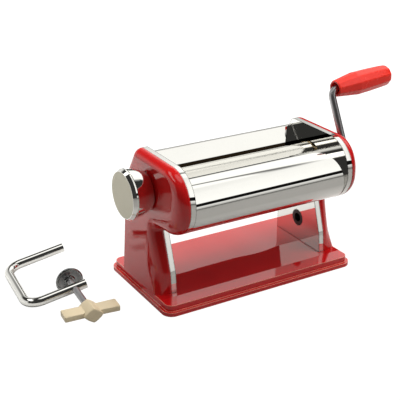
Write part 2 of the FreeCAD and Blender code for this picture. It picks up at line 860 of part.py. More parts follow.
def build_drive():
    """The driven front roller, its gear, bushes and circlips."""
    y = -drive_front
    z = S.roller_height
    left_end = web_out + S.journal_reach
    right_end = flange + S.cover_depth_top - S.cover_wall
    socket = S.crank_tip + S.free_gap
    deep = S.crank_depth + S.free_gap
    hole = box((right_end - deep, y - socket, z - socket), (deep * 2, socket * 2, socket * 2))
    node("drive_roller", cut(roller(y, left_end, right_end), [hole]))
    bore = cylinder(S.journal_radius, S.gear_face * 4, (web, y, z))
    doc.recompute()
    wheel = gear(y)
    doc.recompute()
    half_step = Rotation(Vector(1, 0, 0), 180 / TEETH)
    wheel.Placement = Placement(wheel.Placement.Base, half_step)
    node("drive_gear", cut(wheel, [bore]))
    outer = S.journal_radius + S.bush_wall
    inner = S.journal_radius + S.running_fit
    sleeve_end = web_out + S.bush_flange_thick
    bushes = []
    clips = []
    start = web - S.bush_flange_thick
    tube = cylinder(outer, sleeve_end - start, (start, y, z))
    collar = cylinder(outer + S.bush_flange, S.bush_flange_thick, (start, y, z))
    bush = cut(fuse([tube, collar]), [cylinder(inner, S.gear_face * 4, (start - 1, y, z))])
    bushes += [bush, mirrored(bush)]
    clip_wall = S.journal_radius + S.circlip_wall
    left_clip = -(sleeve_end + S.free_gap + S.circlip_width)
    clips.append(ring(clip_wall, S.journal_radius, S.circlip_width, (left_clip, y, z)))
    gear_end = web_out + S.gear_offset - S.plate_sheet + S.gear_face
    clips.append(ring(clip_wall, S.journal_radius, S.circlip_width, (gear_end, y, z)))
    node("drive_bushes", group(bushes))
    node("drive_circlips", group(clips))


def build_idler():
    """The adjustable rear roller, its gear and circlip."""
    y = -S.idler_front
    z = S.roller_height
    gear_end = web_out + S.gear_offset - S.plate_sheet + S.gear_face
    right_end = gear_end + S.circlip_width * 2
    node("idler_roller", roller(y, web_out + S.slide_plate_thick, right_end))
    bore = cylinder(S.journal_radius, S.gear_face * 4, (web, y, z))
    node("idler_gear", cut(gear(y), [bore]))
    clip_wall = S.journal_radius + S.circlip_wall
    node("idler_circlip", ring(clip_wall, S.journal_radius, S.circlip_width, (gear_end, y, z)))


def build_carriage():
    """Two bearing blocks that slide in the side plates, tied by a bar that carries the rear scraper."""
    y = -S.idler_front
    z = S.roller_height
    bore = S.journal_radius + S.running_fit
    inner_start = web - S.free_gap - S.slide_plate_thick
    outer_end = web_out + S.free_gap + S.slide_plate_thick
    for name, side in SIDES.items():
        thick = outer_end - inner_start
        start = inner_start if side > 0 else -outer_end
        core = box((start, y - S.slide_half, z - S.slide_half), (thick, S.slide_half * 2, S.slide_half * 2))
        inner = inner_start if side > 0 else -(inner_start + S.slide_plate_thick)
        plate_low = (inner, y - S.slide_plate, z - S.slide_plate)
        plate = box(plate_low, (S.slide_plate_thick, S.slide_plate * 2, S.slide_plate * 2))
        ear = S.link_radius * 2
        ear_low = (inner, y, link_height - ear)
        ear_plate = box(ear_low, (S.slide_plate_thick, S.link_lag + ear, ear * 2))
        outer = outer_end - S.slide_plate_thick if side > 0 else -outer_end
        reach = S.slide_plate if side > 0 else S.cam_start + S.follower_radius * 2
        cheek_size = (S.slide_plate_thick, reach + S.slide_plate, S.slide_plate * 2)
        cheek = box((outer, y - reach, z - S.slide_plate), cheek_size)
        parts = [core, plate, ear_plate, cheek]
        holes = [cylinder(bore, thick * 3, (start - thick, y, z))]
        holes.append(cylinder(S.link_radius + S.seat_gap, thick * 3, (start - thick, link_rear, link_height)))
        node(f"{name}_bearing_block", cut(fuse(parts), holes))
    bar_half = inner_start + S.slide_plate_thick
    node("carriage_bar", cylinder(S.link_radius, bar_half * 2, (-bar_half, link_rear, link_height)))
    node("rear_scraper", scraper((link_rear, link_height), S.link_radius + S.seat_gap, y))
    pin_length = cam_face() - outer_end + S.groove_depth - S.free_gap
    pin_start = -(outer_end + pin_length)
    node("cam_follower", cylinder(S.follower_radius, pin_length, (pin_start, y - S.cam_start, z)))


def cam_face():
    """Distance of the cam's inner face from the middle of the machine."""
    return web_out + S.cam_offset


def spiral_point(turn, shift):
    """A point of the cam's spiral after a share of the knob's turn, moved outwards by a shift."""
    angle = math.pi - math.radians(S.cam_turn.number) * turn
    radius = S.cam_start.number + S.gap_travel.number * turn + shift
    return Vector(0, radius * math.cos(angle), radius * math.sin(angle))


def spiral_groove():
    """The groove that leads the follower, as a solid to cut away."""
    half = (S.follower_radius + S.free_gap).number
    edges = []
    for shift in (-half, half):
        for index in range(GROOVE_ARCS):
            turns = [(index + part) / GROOVE_ARCS for part in (0, 0.5, 1)]
            edges.append(Part.Arc(*[spiral_point(turn, shift) for turn in turns]).toShape())
    for turn, bulge in ((0, 1), (1, -1)):
        middle = spiral_point(turn, 0)
        side = Vector(1, 0, 0).cross(middle).normalize() * (half * bulge)
        points = [spiral_point(turn, -half), middle + side, spiral_point(turn, half)]
        edges.append(Part.Arc(*points).toShape())
    face = Part.Face(Part.Wire(Part.__sortEdges__(edges)))
    groove = doc.addObject("Part::Feature", "Groove")
    groove.Shape = face.extrude(Vector(S.groove_depth.number * 2, 0, 0))
    start = -(cam_face() + S.groove_depth)
    return place(groove, (start, -S.idler_front, S.roller_height))


def build_regulator():
    """The chrome knob, its face, shaft and cam, with the bush and spring that guide and click it."""
    y = -S.idler_front
    z = S.roller_height
    cam_end = cam_face() + S.cam_thick
    cam = cylinder(S.cam_radius, S.cam_thick, (-cam_end, y, z))
    notches = []
    step = S.cam_turn.number / (DETENTS - 1)
    notch = S.detent_sheet * 2
    for index in range(DETENTS):
        angle = math.radians(-90 - step * index)
        spot_y = y + S.cam_radius * math.cos(angle)
        spot_z = z + S.cam_radius * math.sin(angle)
        notches.append(cylinder(notch, S.cam_thick * 2, (-cam_end - 1, spot_y, spot_z)))
    knob_back = flange + S.cover_depth_top + S.knob_clear + S.cover_wall
    knob_face = web + S.knob_front_face
    seat = knob_face - S.face_thick * 4
    shaft = cylinder(S.shaft_radius, seat - cam_end + 1, (-seat, y, z))
    screw_bore = cylinder(S.screw_radius + S.seat_gap, seat - cam_end, (-seat - 1, y, z))
    node("cam_disc", cut(fuse([cam, shaft]), notches + [spiral_groove(), screw_bore]))
    build_knob(knob_back, knob_face, seat)
    bush_outer = S.shaft_radius + S.bush_wall
    collar_start = -(knob_back - S.knob_clear)
    tube_length = knob_back - S.knob_clear - cam_end - S.free_gap
    tube = cylinder(bush_outer, tube_length, (collar_start, y, z))
    inner_end = -(cam_end + S.free_gap + S.bush_flange_thick)
    collar = cylinder(bush_outer + S.bush_flange, S.bush_flange_thick, (inner_end, y, z))
    bore = cylinder(S.shaft_radius + S.running_fit, tube_length * 2, (collar_start - 1, y, z))
    node("knob_bush", cut(fuse([tube, collar]), [bore]))
    leaf_top = z - S.cam_radius - S.free_gap
    width = S.detent_width
    leaf_low = leaf_top - S.detent_sheet
    leaf_start = -(cam_end + S.free_gap)
    leaf_front = y - S.cam_radius
    leaf = box((leaf_start, leaf_front, leaf_low), (width, S.cam_radius * 1.5, S.detent_sheet))
    lug_reach = cam_end + S.free_gap - web_out
    lug_low = (leaf_start, leaf_front, leaf_low - S.detent_lug)
    lug = box(lug_low, (lug_reach, width, S.detent_lug))
    bump = cylinder(S.detent_sheet, width, (leaf_start, y, leaf_top))
    node("detent_spring", fuse([leaf, lug, bump]))


def build_knob(back, face, seat):
    """A tapered knob turned about the shaft, with its flat face let in and a screw behind it."""
    y = -S.idler_front
    z = S.roller_height
    rim_back = face - S.knob_rim
    neck = (S.knob_waist + S.knob_shoulder) / 2 + S.knob_neck_swell
    corners = [
        (-back, S.shaft_radius + S.seat_gap),
        (-back, S.knob_waist),
        (-(back + rim_back) / 2, neck, S.knob_neck_round),
        (-rim_back, S.knob_shoulder),
        (-rim_back, S.knob_radius - S.knob_bevel / 2),
        (-rim_back - S.knob_bevel / 2, S.knob_radius),
        (-face + S.knob_bevel_depth, S.knob_radius),
        (-face, S.knob_radius - S.knob_bevel),
        (-face, S.knob_radius - S.face_inset),
        (-face + S.face_thick, S.knob_radius - S.face_inset),
        (-face + S.face_thick, S.screw_head + S.free_gap),
        (-seat, S.screw_head + S.free_gap),
        (-seat, S.shaft_radius + S.seat_gap),
    ]
    body = doc.addObject("PartDesign::Body", "Knob")
    sketch = draw(body_sketch(body, "XY_Plane"), corners)
    turned = body.newObject("PartDesign::Revolution", "Turned")
    turned.Profile = sketch
    turned.ReferenceAxis = (sketch, ["H_Axis"])
    turned.Angle = 360
    node("regulator_knob", place(body, (0, y, z)))
    plate = S.face_thick - S.seat_gap
    node("knob_face", cylinder(S.knob_radius - S.face_inset - S.seat_gap, plate, (-face, y, z)))
    head = cylinder(S.screw_head, S.screw_head_thick, (-seat - S.screw_head_thick, y, z))
    shank = cylinder(S.screw_radius, S.flange_width * 2, (-seat, y, z))
    node("knob_screw", fuse([head, shank]))


def rod_along(path, radius, start, facing):
    """Round bar swept along a drawn path."""
    section = doc.addObject("Part::Circle", "Section")
    bind(section, "Radius", radius)
    section.Placement = path.Placement * Placement(start, facing)
    sweep = doc.addObject("Part::Sweep", "Rod")
    doc.recompute()
    names = [f"Edge{index + 1}" for index in range(len(path.Shape.Edges))]
    sweep.Sections = [section]
    sweep.Spine = (path, names)
    sweep.Solid = True
    sweep.Frenet = True
    return sweep


def build_crank():
    """The bent crank with its square tip, and the faceted grip that turns on it."""
    lean = math.radians(S.crank_lean.number)
    tilt = math.radians(S.grip_tilt.number)
    out = Vector(0, math.sin(lean), math.cos(lean))
    plane = Rotation(Vector(1, 0, 0), out, Vector(), "XYZ")
    hub = Vector(0, -drive_front.number, S.roller_height.number)
    arm_x = web + S.crank_plane
    rod_length = S.grip_length - S.grip_wall
    run = S.grip_start + rod_length
    round_end = flange + S.cover_depth_top - S.cover_wall
    corners = [
        (round_end, 0),
        (arm_x, 0, S.crank_bend),
        (arm_x, S.crank_throw, S.crank_bend),
        (arm_x + run * math.cos(tilt), S.crank_throw + run * math.sin(tilt)),
    ]
    path = draw(sketch_at(Placement(hub, plane)), corners, closed=False)
    facing = Rotation(Vector(0, 1, 0), 90)
    rod = rod_along(path, S.crank_rod, Vector(round_end.number, 0, 0), facing)
    tip = S.crank_tip
    start = round_end - S.crank_depth
    square = box((start, -drive_front - tip, S.roller_height - tip), (S.crank_depth + 1, tip * 2, tip * 2))
    doc.recompute()
    node("crank_arm", fuse([rod, square]))
    along = Vector(math.cos(tilt), 0, 0) + out * math.sin(tilt)
    bend = hub + Vector(arm_x.number, 0, 0) + out * S.crank_throw.number
    mouth = bend + along * S.grip_start.number
    node("crank_grip", build_grip(rod_length, Placement(mouth, Rotation(Vector(1, 0, 0), along))))


def build_grip(rod_length, where):
    """The faceted grip with the bore and the wider mouth for the rod."""
    radii = (S.grip_mouth, S.grip_neck, S.grip_swell, S.grip_waist, S.grip_tail, S.grip_nose)
    rings = []
    for share, radius in zip(GRIP_SHARES, radii):
        polygon = doc.addObject("Part::RegularPolygon", "Facets")
        polygon.Polygon = GRIP_FACETS
        bind(polygon, "Circumradius", radius)
        rings.append(place(polygon, (S.grip_length * share, 0, 0), ALONG["X"]))
    bore = cylinder(S.crank_rod + S.running_fit, rod_length + S.free_gap, (0, 0, 0))
    recess = cylinder(S.grip_recess, S.grip_recess_depth, (0, 0, 0))
    grip = cut(loft(rings), [fuse([bore, recess])])
    doc.recompute()
    grip.Placement = where
    return grip


def build_socket():
    """The plastic sleeve in the right leg that takes the clamp's arm."""
    drop = (S.cover_depth_foot - S.cover_depth_top) / (crown - table_top)
    reach = S.cover_depth_top + drop * (crown - S.socket_height)
    spot = (web, S.socket_rear, S.socket_height)
    node("clamp_socket", ring(S.socket_radius, S.clamp_rod + S.clamp_play, S.flange_width + reach, spot))


def clamp_rise():
    """The angle by which the clamp's arms rise, with its back and its disc on the table."""
    return math.asin((S.disc_radius - S.clamp_rod).number / S.clamp_axis.number)


def clamp_placement():
    """Where the clamp lies: its back on the table and its arms rising to the disc's centre."""
    rise = clamp_rise()
    yaw = math.radians(S.clamp_yaw.number)
    along = Vector(math.cos(yaw) * math.cos(rise), math.sin(yaw) * math.cos(rise), math.sin(rise))
    across = Vector(math.sin(yaw), -math.cos(yaw), 0)
    base = Vector(-S.clamp_left.number, S.clamp_rear.number, S.clamp_rod.number)
    return Placement(base, Rotation(along, across, Vector(), "XYZ"))


def build_clamp():
    """The bent rod clamp: along its arms is X, from the upper arm to the lower one is Y."""
    where = clamp_placement()
    half = S.clamp_span / 2
    corners = [
        (S.clamp_upper, -half),
        (0, -half, S.clamp_bend),
        (0, half, S.clamp_bend),
        (S.clamp_lower, half),
    ]
    path = draw(sketch_at(Placement()), corners, closed=False)
    start = Vector(S.clamp_upper.number, -half.number, 0)
    rod = rod_along(path, S.clamp_rod, start, Rotation(Vector(0, 1, 0), -90))
    axis = S.clamp_axis
    tap_start = (axis, half - S.clamp_rod * 2, 0)
    tap = cylinder(S.thread_radius + S.running_fit, S.clamp_rod * 4, tap_start, "Y")
    doc.recompute()
    frame = cut(rod, [tap])
    disc_back = half - S.disc_set
    disc_front = disc_back - S.disc_thick
    plate = cylinder(S.disc_radius, S.disc_thick, (axis, disc_front, 0), "Y")
    stud_start = (axis, disc_front - S.disc_stud_thick, 0)
    stud = cylinder(S.disc_stud, S.disc_stud_thick, stud_start, "Y")
    disc_solid = fuse([plate, stud])
    thread_start = disc_back + S.free_gap
    hub_start = half + S.wing_start
    thread_length = hub_start + S.wing_hub_length / 2 - thread_start
    thread = cylinder(S.thread_radius, thread_length, (axis, thread_start, 0), "Y")
    hub = cylinder(S.wing_hub, S.wing_hub_length, (axis, hub_start, 0), "Y")
    wing_low = hub_start + (S.wing_hub_length - S.wing_width) / 2
    level = -clamp_rise()
    half_span = S.wing_span / 2
    half_thick = S.wing_thick / 2
    low = (axis - half_span * math.cos(level) - half_thick * math.sin(level),
           wing_low,
           half_span * math.sin(level) - half_thick * math.cos(level))
    turn = Rotation(Vector(0, 1, 0), math.degrees(level))
    wing = box(low, (S.wing_span, S.wing_width, S.wing_thick), turn)
    bore = cylinder(S.thread_radius, S.wing_hub_length / 2, (axis, hub_start, 0), "Y")
    knob = cut(fuse([hub, wing]), [bore])
    doc.recompute()
    pieces = {"clamp_frame": frame, "clamp_disc": disc_solid, "clamp_screw": thread, "wing_knob": knob}
    for name, item in pieces.items():
        item.setExpression("Placement.Base.x", None)
        item.setExpression("Placement.Base.y", None)
        item.setExpression("Placement.Base.z", None)
        item.Placement = where * item.Placement
        node(name, item)


def export():
    """Check every object and write each piece."""
    doc.recompute()
    for item in doc.Objects:
        if "Invalid" in item.State or "Error" in item.State:
            raise RuntimeError(f"{item.Label} failed: {item.State}")
    os.makedirs("parts", exist_ok=True)
    for name, item in NODES.items():
        shape = item.Shape
        if shape.isNull() or not shape.isValid() or not shape.Solids:
            raise RuntimeError(f"{name} has no valid shape")
        shape.exportStep(f"parts/{name}.step")
        print(f"{name}: {len(shape.Solids)} solids, {shape.Volume / 1000:.2f} cm3")


build_base()
build_side_plates()
build_covers()
build_housing()
build_drive()
build_idler()
build_carriage()
build_regulator()
build_crank()
build_socket()
build_clamp()
export()
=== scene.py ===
"""Looks of a hand-cranked pasta roller machine and of the table clamp that lies beside it.

Everything is in metres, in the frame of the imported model: +X along the rollers towards the crank,
+Y away from the user and +Z up, with the origin on the table under the middle of the base.
"""
from __future__ import annotations

import json
import logging
import math
from dataclasses import dataclass, field
from enum import Enum
from typing import Any, Iterable, Sequence

import bmesh
import bpy
from mathutils import Matrix, Vector

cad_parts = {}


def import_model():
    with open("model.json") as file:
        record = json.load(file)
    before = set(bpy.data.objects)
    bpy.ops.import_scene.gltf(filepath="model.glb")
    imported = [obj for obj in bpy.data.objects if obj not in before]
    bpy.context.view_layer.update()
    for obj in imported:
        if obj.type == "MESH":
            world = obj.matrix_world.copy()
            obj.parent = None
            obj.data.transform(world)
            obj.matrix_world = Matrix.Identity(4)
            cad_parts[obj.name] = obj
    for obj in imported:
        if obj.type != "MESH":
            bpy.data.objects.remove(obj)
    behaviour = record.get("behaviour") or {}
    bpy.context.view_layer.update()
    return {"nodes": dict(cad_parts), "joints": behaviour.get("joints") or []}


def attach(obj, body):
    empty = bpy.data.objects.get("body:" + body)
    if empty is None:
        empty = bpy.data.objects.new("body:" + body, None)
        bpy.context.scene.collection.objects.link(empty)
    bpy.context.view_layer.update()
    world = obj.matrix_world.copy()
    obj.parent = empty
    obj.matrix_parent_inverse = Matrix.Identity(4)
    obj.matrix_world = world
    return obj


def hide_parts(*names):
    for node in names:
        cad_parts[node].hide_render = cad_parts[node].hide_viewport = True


LOG = logging.getLogger("pasta_machine")
MM = 0.001
WHITE = (1.0, 1.0, 1.0, 1.0)
MIX_SHARE, MIX_FIRST, MIX_SECOND, MIX_RESULT = 0, 6, 7, 2
NOISE_ROUGHNESS = 0.55
EDGE_SAMPLES = 4
CAD_SHARP = 30.0
WELD_REACH = 0.002 * MM
BEVEL_SEGMENTS = 2
BEVEL_ANGLE = 50.0
Colour = tuple[float, float, float]
Spot = tuple[float, float, float]
Profile = tuple[tuple[float, float], ...]
Nodes = dict[str, bpy.types.Object]
MADE: dict["Finish", bpy.types.Material] = {}


class Value:
    """A shader socket that adds Math nodes when it takes part in arithmetic."""

    def __init__(self, graph: "Graph", socket: bpy.types.NodeSocket | None) -> None:
        """Wrap one output socket of a graph."""
        self.graph = graph
        self.socket = socket

    def _math(self, operation: str, first: Any, second: Any) -> "Value":
        """Add one Math node, between values or numbers."""
        return self.graph.node("ShaderNodeMath", {"operation": operation}, {0: first, 1: second})

    def __add__(self, other: Any) -> "Value":
        """Sum."""
        return self._math("ADD", self, other)

    def __radd__(self, other: Any) -> "Value":
        """Sum with a number on the left."""
        return self._math("ADD", other, self)

    def __sub__(self, other: Any) -> "Value":
        """Difference."""
        return self._math("SUBTRACT", self, other)

    def __rsub__(self, other: Any) -> "Value":
        """Difference from a number."""
        return self._math("SUBTRACT", other, self)

    def __mul__(self, other: Any) -> "Value":
        """Product."""
        return self._math("MULTIPLY", self, other)

    def __rmul__(self, other: Any) -> "Value":
        """Product with a number on the left."""
        return self._math("MULTIPLY", other, self)

    def __pow__(self, other: Any) -> "Value":
        """Power."""
        return self._math("POWER", self, other)

    def __rpow__(self, other: Any) -> "Value":
        """Power of a number."""
        return self._math("POWER", other, self)

    def sine(self) -> "Value":
        """Sine of the value in radians."""
        return self._math("SINE", self, 0.0)

    def at_most(self, limit: Any) -> "Value":
        """The value, or a limit where that is smaller."""
        return self._math("MINIMUM", self, limit)

    def clamped(self, low: float, high: float) -> "Value":
        """The value held between two limits."""
        return self._math("MAXIMUM", self, low).at_most(high)

    def towards(self, other: Any, share: "Value") -> "Value":
        """The value moved towards another by a share."""
        return self + (other - self) * share

    def rising(self, start: float, gain: float, low: float = 0.0, high: float = 1.0) -> "Value":
        """A ramp that climbs from a start, held between two limits."""
        return ((self - start) * gain).clamped(low, high)

    def falling(self, end: float, gain: float, low: float = 0.0, high: float = 1.0) -> "Value":
        """A ramp that drops to nothing at an end, held between two limits."""
        return ((end - self) * gain).clamped(low, high)

    def hump(self, middle: float, half: float, high: float = 1.0) -> "Value":
        """A round hump about a middle, held below a limit."""
        off = (self - middle) * (1.0 / half)
        return (1.0 - off * off).clamped(0.0, high)


class Graph:
    """The node tree of one material or of the world."""

    def __init__(self, owner: Any) -> None:
        """Empty the owner's tree and keep it.

        Args:
            owner: a material or a world.
        """
        owner.use_nodes = True
        self.tree = owner.node_tree
        self.tree.nodes.clear()

    def node(
        self, kind: str, settings: dict[str, Any], inputs: dict[Any, Any], output: Any = 0
    ) -> Value:
        """Add any node.

        Args:
            kind: the node's type name.
            settings: attributes to set first; "stops" holds a ramp's positions and grey levels.
            inputs: socket names or numbers with the values or links that they take.
            output: which output to hand back.

        Returns:
            The chosen output, or an empty value for a node that has none.
        """
        made = self.tree.nodes.new(kind)
        for name, setting in settings.items():
            if name == "stops":
                self._set_stops(made.color_ramp, setting)
            else:
                setattr(made, name, setting)
        for name, value in inputs.items():
            if isinstance(value, Value):
                self.tree.links.new(value.socket, made.inputs[name])
            else:
                made.inputs[name].default_value = value
        return Value(self, made.outputs[output] if len(made.outputs) else None)

    @staticmethod
    def _set_stops(ramp: bpy.types.ColorRamp, stops: Profile) -> None:
        """Give a ramp its stops.

        Args:
            ramp: a colour ramp with two stops.
            stops: positions with grey levels.
        """
        while len(ramp.elements) < len(stops):
            ramp.elements.new(0.5)
        for element, (position, level) in zip(ramp.elements, stops):
            element.position = position
            element.color = (level, level, level, 1.0)

    def place(self) -> Value:
        """Coordinates of a surface point in metres."""
        return self.node("ShaderNodeTexCoord", {}, {}, "Object")

    def axis(self, name: str, point: Value | None = None) -> Value:
        """One coordinate of a point, or else of the surface point in metres."""
        return self.node("ShaderNodeSeparateXYZ", {}, {0: point or self.place()}, name)

    def noise(
        self, scale: float, detail: float = 3.0, stretch: Sequence[float] = (1, 1, 1)
    ) -> Value:
        """Cloudy noise.

        Args:
            scale: features per metre.
            detail: octaves.
            stretch: how much the coordinates are scaled along each axis first.

        Returns:
            A value about one half.
        """
        moved = self.node("ShaderNodeMapping", {}, {"Vector": self.place(), "Scale": stretch})
        inputs = {
            "Vector": moved, "Scale": scale, "Detail": detail, "Roughness": NOISE_ROUGHNESS}
        return self.node("ShaderNodeTexNoise", {"noise_dimensions": "3D"}, inputs)

    def between(self, share: Value, first: Colour, second: Colour) -> Value:
        """A colour between two, by a share."""
        return self.blend(share, (*first, 1.0), second)

    def blend(self, share: Value, first: Any, second: Colour) -> Value:
        """A tone taken towards a colour, by a share.

        Args:
            share: 0 for the tone and 1 for the colour.
            first: the tone.
            second: the colour.

        Returns:
            The mixed colour.
        """
        settings = {"data_type": "RGBA", "clamp_factor": True}
        inputs = {MIX_SHARE: share, MIX_FIRST: first, MIX_SECOND: (*second, 1.0)}
        return self.node("ShaderNodeMix", settings, inputs, MIX_RESULT)

    def edges(self, width: float, gain: float, most: float) -> Value:
        """How near a point is to an edge.

        Args:
            width: how far an edge reaches.
            gain: how fast the share climbs.
            most: the most that it comes to.

        Returns:
            A share that is 0 on flats.
        """
        rounded = self.node("ShaderNodeBevel", {"samples": EDGE_SAMPLES}, {"Radius": width})
        plain = self.node("ShaderNodeNewGeometry", {}, {}, "Normal")
        settings = {"operation": "DOT_PRODUCT"}
        match = self.node("ShaderNodeVectorMath", settings, {0: rounded, 1: plain}, "Value")
        return match.falling(1.0, gain, 0.0, most)

    def bump(self, height: Value) -> Value:
        """A bumped normal from a height in metres."""
        return self.node("ShaderNodeBump", {}, {"Height": height, "Strength": 1.0, "Distance": 1.0})

    def surface(self, fixed: dict[str, Any], varying: dict[str, Value]) -> None:
        """Close a material with one principled shader."""
        shader = self.node("ShaderNodeBsdfPrincipled", {}, {**fixed, **varying})
        self.node("ShaderNodeOutputMaterial", {}, {"Surface": shader})


@dataclass(frozen=True)
class Finish:
    """What every finish shares: its name and how to make its material once."""

    name: str

    def material(self) -> bpy.types.Material:
        """Make the finish's material on first use.

        Returns:
            The material.
        """
        if self not in MADE:
            MADE[self] = bpy.data.materials.new(f"{self.name}_finish")
            self.draw(Graph(MADE[self]))
        return MADE[self]

    def draw(self, graph: Graph) -> None:
        """Draw the finish's nodes."""
        raise NotImplementedError


@dataclass(frozen=True)
class BrightMetal(Finish):
    """Plated or ground metal with faint smears, fine lines and a sheet's slow waves."""

    colour: Colour = (0.9, 0.89, 0.86)
    shade: Colour = (0.83, 0.82, 0.79)
    polish: float = 0.03
    smear: float = 0.05
    lines: Sequence[float] = (1.0, 1.0, 1.0)
    line_depth: float = 0.0
    wave: float = 0.0
    cloud_scale: float = 38.0
    line_scale: float = 420.0
    line_share: float = 0.4
    wave_scale: float = 9.0
    relief: float = 0.2 * MM

    def draw(self, graph: Graph) -> None:
        """Draw smears in the roughness, and lines and waves in the bump.

        Args:
            graph: the material's empty tree.
        """
        cloud = graph.noise(self.cloud_scale)
        streak = graph.noise(self.line_scale, 2.0, self.lines)
        mottle = cloud * (1.0 - self.line_share) + streak * self.line_share
        tone = graph.between(mottle, self.shade, self.colour)
        rough = (cloud * cloud * self.smear + self.polish).clamped(0.0, 1.0)
        varying = {"Base Color": self.add_painted_shade(graph, tone), "Roughness": self.dulled(graph, rough)}
        if self.line_depth or self.wave:
            height = streak * self.line_depth + graph.noise(self.wave_scale, 1.0) * self.wave
            varying["Normal"] = graph.bump(height * self.relief)
        graph.surface({"Metallic": 1.0}, varying)

    def add_painted_shade(self, graph: Graph, tone: Value) -> Value:
        """The tone with the painted shade of one piece, where it has any."""
        return tone

    def dulled(self, graph: Graph, rough: Value) -> Value:
        """The roughness with the dull places of one piece."""
        return rough


@dataclass(frozen=True)
class EdgedPlate(BrightMetal):
    """Bright plate with painted shade: its edges are dark lines that stand in for dark reflections
    and shadow gaps.
    """

    # painted shade: dark edge lines stand in for dark reflections and shadow gaps
    painted_edge_tone: Colour = (0.03, 0.028, 0.025)
    edge_width: float = 1.5 * MM
    edge_gain: float = 10.0
    edge_most: float = 0.95

    def add_painted_shade(self, graph: Graph, tone: Value) -> Value:
        """Darken the plate's edges with painted shade."""
        # painted shade on the plate's edges
        painted_edge_share = graph.edges(self.edge_width, self.edge_gain, self.edge_most)
        return graph.blend(painted_edge_share, tone, self.painted_edge_tone)


@dataclass(frozen=True)
class FeedSheet(BrightMetal):
    """Bright sheet with painted shade along its lip and its top fold, and a dull sheared end."""

    # painted shade on the lip and the top fold
    painted_shade: Colour = (0.012, 0.008, 0.004)
    lip_back: float = 8.3 * MM
    lip_fade: float = 0.25 * MM
    fold: float = 20.2 * MM
    fold_half: float = 0.8 * MM
    fold_shade_most: float = 0.6
    end: float = 81.4 * MM
    end_fade: float = 0.3 * MM
    end_rough: float = 0.6

    def dulled(self, graph: Graph, rough: Value) -> Value:
        """Dull the sheared end beside the right side plate."""
        sheared = graph.axis("X").rising(self.end, 1.0 / self.end_fade)
        return rough.towards(self.end_rough, sheared)

    def add_painted_shade(self, graph: Graph, tone: Value) -> Value:
        """Paint shade on the sheet's lip and along the fold at its top.

        Args:
            graph: the material's tree.
            tone: the sheet's colour before the painted shade.

        Returns:
            The colour with the painted shade.
        """
        depth = graph.axis("Y")
        # painted shade: dark along the lip and in a band along the fold
        lip = depth.falling(self.lip_back, 1.0 / self.lip_fade)
        fold = depth.hump(self.fold, self.fold_half, self.fold_shade_most)
        return graph.blend(lip + fold, tone, self.painted_shade)


@dataclass(frozen=True)
class GlossPaint(Finish):
    """Stoved gloss paint with a slight orange peel and a painted highlight along its edges."""

    deep: Colour = (0.33, 0.0045, 0.008)
    bright: Colour = (0.46, 0.008, 0.01)
    # painted highlight: a paler colour along the paint's edges
    painted_edge_tone: Colour = (0.55, 0.02, 0.015)
    edge_width: float = 0.8 * MM
    edge_gain: float = 8.0
    edge_most: float = 0.8
    index: float = 1.62
    cloud_scale: float = 16.0
    haze_scale: float = 55.0
    haze: float = 0.05
    polish: float = 0.03
    peel_scale: float = 620.0
    ripple_scale: float = 70.0
    ripple_share: float = 0.4
    peel_height: float = 0.024 * MM

    def draw(self, graph: Graph) -> None:
        """Draw the paint's tone, its peel and the painted highlight along its edges.

        Args:
            graph: the material's empty tree.
        """
        tone = graph.between(graph.noise(self.cloud_scale), self.deep, self.bright)
        # painted highlight along the edges
        painted_edge_share = graph.edges(self.edge_width, self.edge_gain, self.edge_most)
        fine = graph.noise(self.peel_scale, 2.0) * (1.0 - self.ripple_share)
        peel = fine + graph.noise(self.ripple_scale, 1.0) * self.ripple_share
        graph.surface({"IOR": self.index}, {
            "Base Color": graph.blend(painted_edge_share, tone, self.painted_edge_tone),
            "Roughness": graph.noise(self.haze_scale) * self.haze + self.polish,
            "Normal": graph.bump(peel * self.peel_height + self.form(graph)),
        })

    def form(self, graph: Graph) -> Value | float:
        """The height under the peel, where the sheet has a form of its own."""
        return 0.0


@dataclass(frozen=True)
class PressedPaint(GlossPaint):
    """Gloss paint on a pressed sheet whose middle panel leans between two lines."""

    edge_width: float = 1.3 * MM
    front: float = -42.0 * MM
    back: float = -3.0 * MM
    waver: float = 26.0 * MM
    waver_scale: float = 14.0
    waver_stretch: Sequence[float] = (1.0, 0.2, 0.2)
    lean: float = -0.16

    def form(self, graph: Graph) -> Value | float:
        """Lean the panel back, from its front line to a wavering line behind.

        Args:
            graph: the material's tree.

        Returns:
            The panel's height in metres.
        """
        wave = graph.noise(self.waver_scale, 1.0, self.waver_stretch) - 0.5
        back = wave * self.waver + self.back
        inside = (graph.axis("Y") - self.front).clamped(0.0, 1.0)
        return inside.at_most(back - self.front) * self.lean


@dataclass(frozen=True)
class MouldedPlastic(Finish):
    """Moulded plastic with a faint flow in its colour and a fine spark texture."""

    colour: Colour = (0.8, 0.8, 0.8)
    flow: Colour = (0.75, 0.75, 0.75)
    rough: float = 0.35
    grain: float = 0.05
    index: float = 1.48
    flow_scale: float = 45.0
    grain_scale: float = 1500.0
    grain_height: float = 0.3 * MM
    shine_scale: float = 90.0
    shine_swing: float = 0.12

    def draw(self, graph: Graph) -> None:
        """Draw the flow marks and the grain.

        Args:
            graph: the material's empty tree.
        """
        fine = graph.noise(self.grain_scale, 2.0)
        least = self.rough - self.shine_swing / 2
        graph.surface({"IOR": self.index}, {
            "Base Color": graph.between(graph.noise(self.flow_scale), self.flow, self.colour),
            "Roughness": graph.noise(self.shine_scale) * self.shine_swing + least,
            "Normal": graph.bump(fine * (self.grain * self.grain_height)),
        })


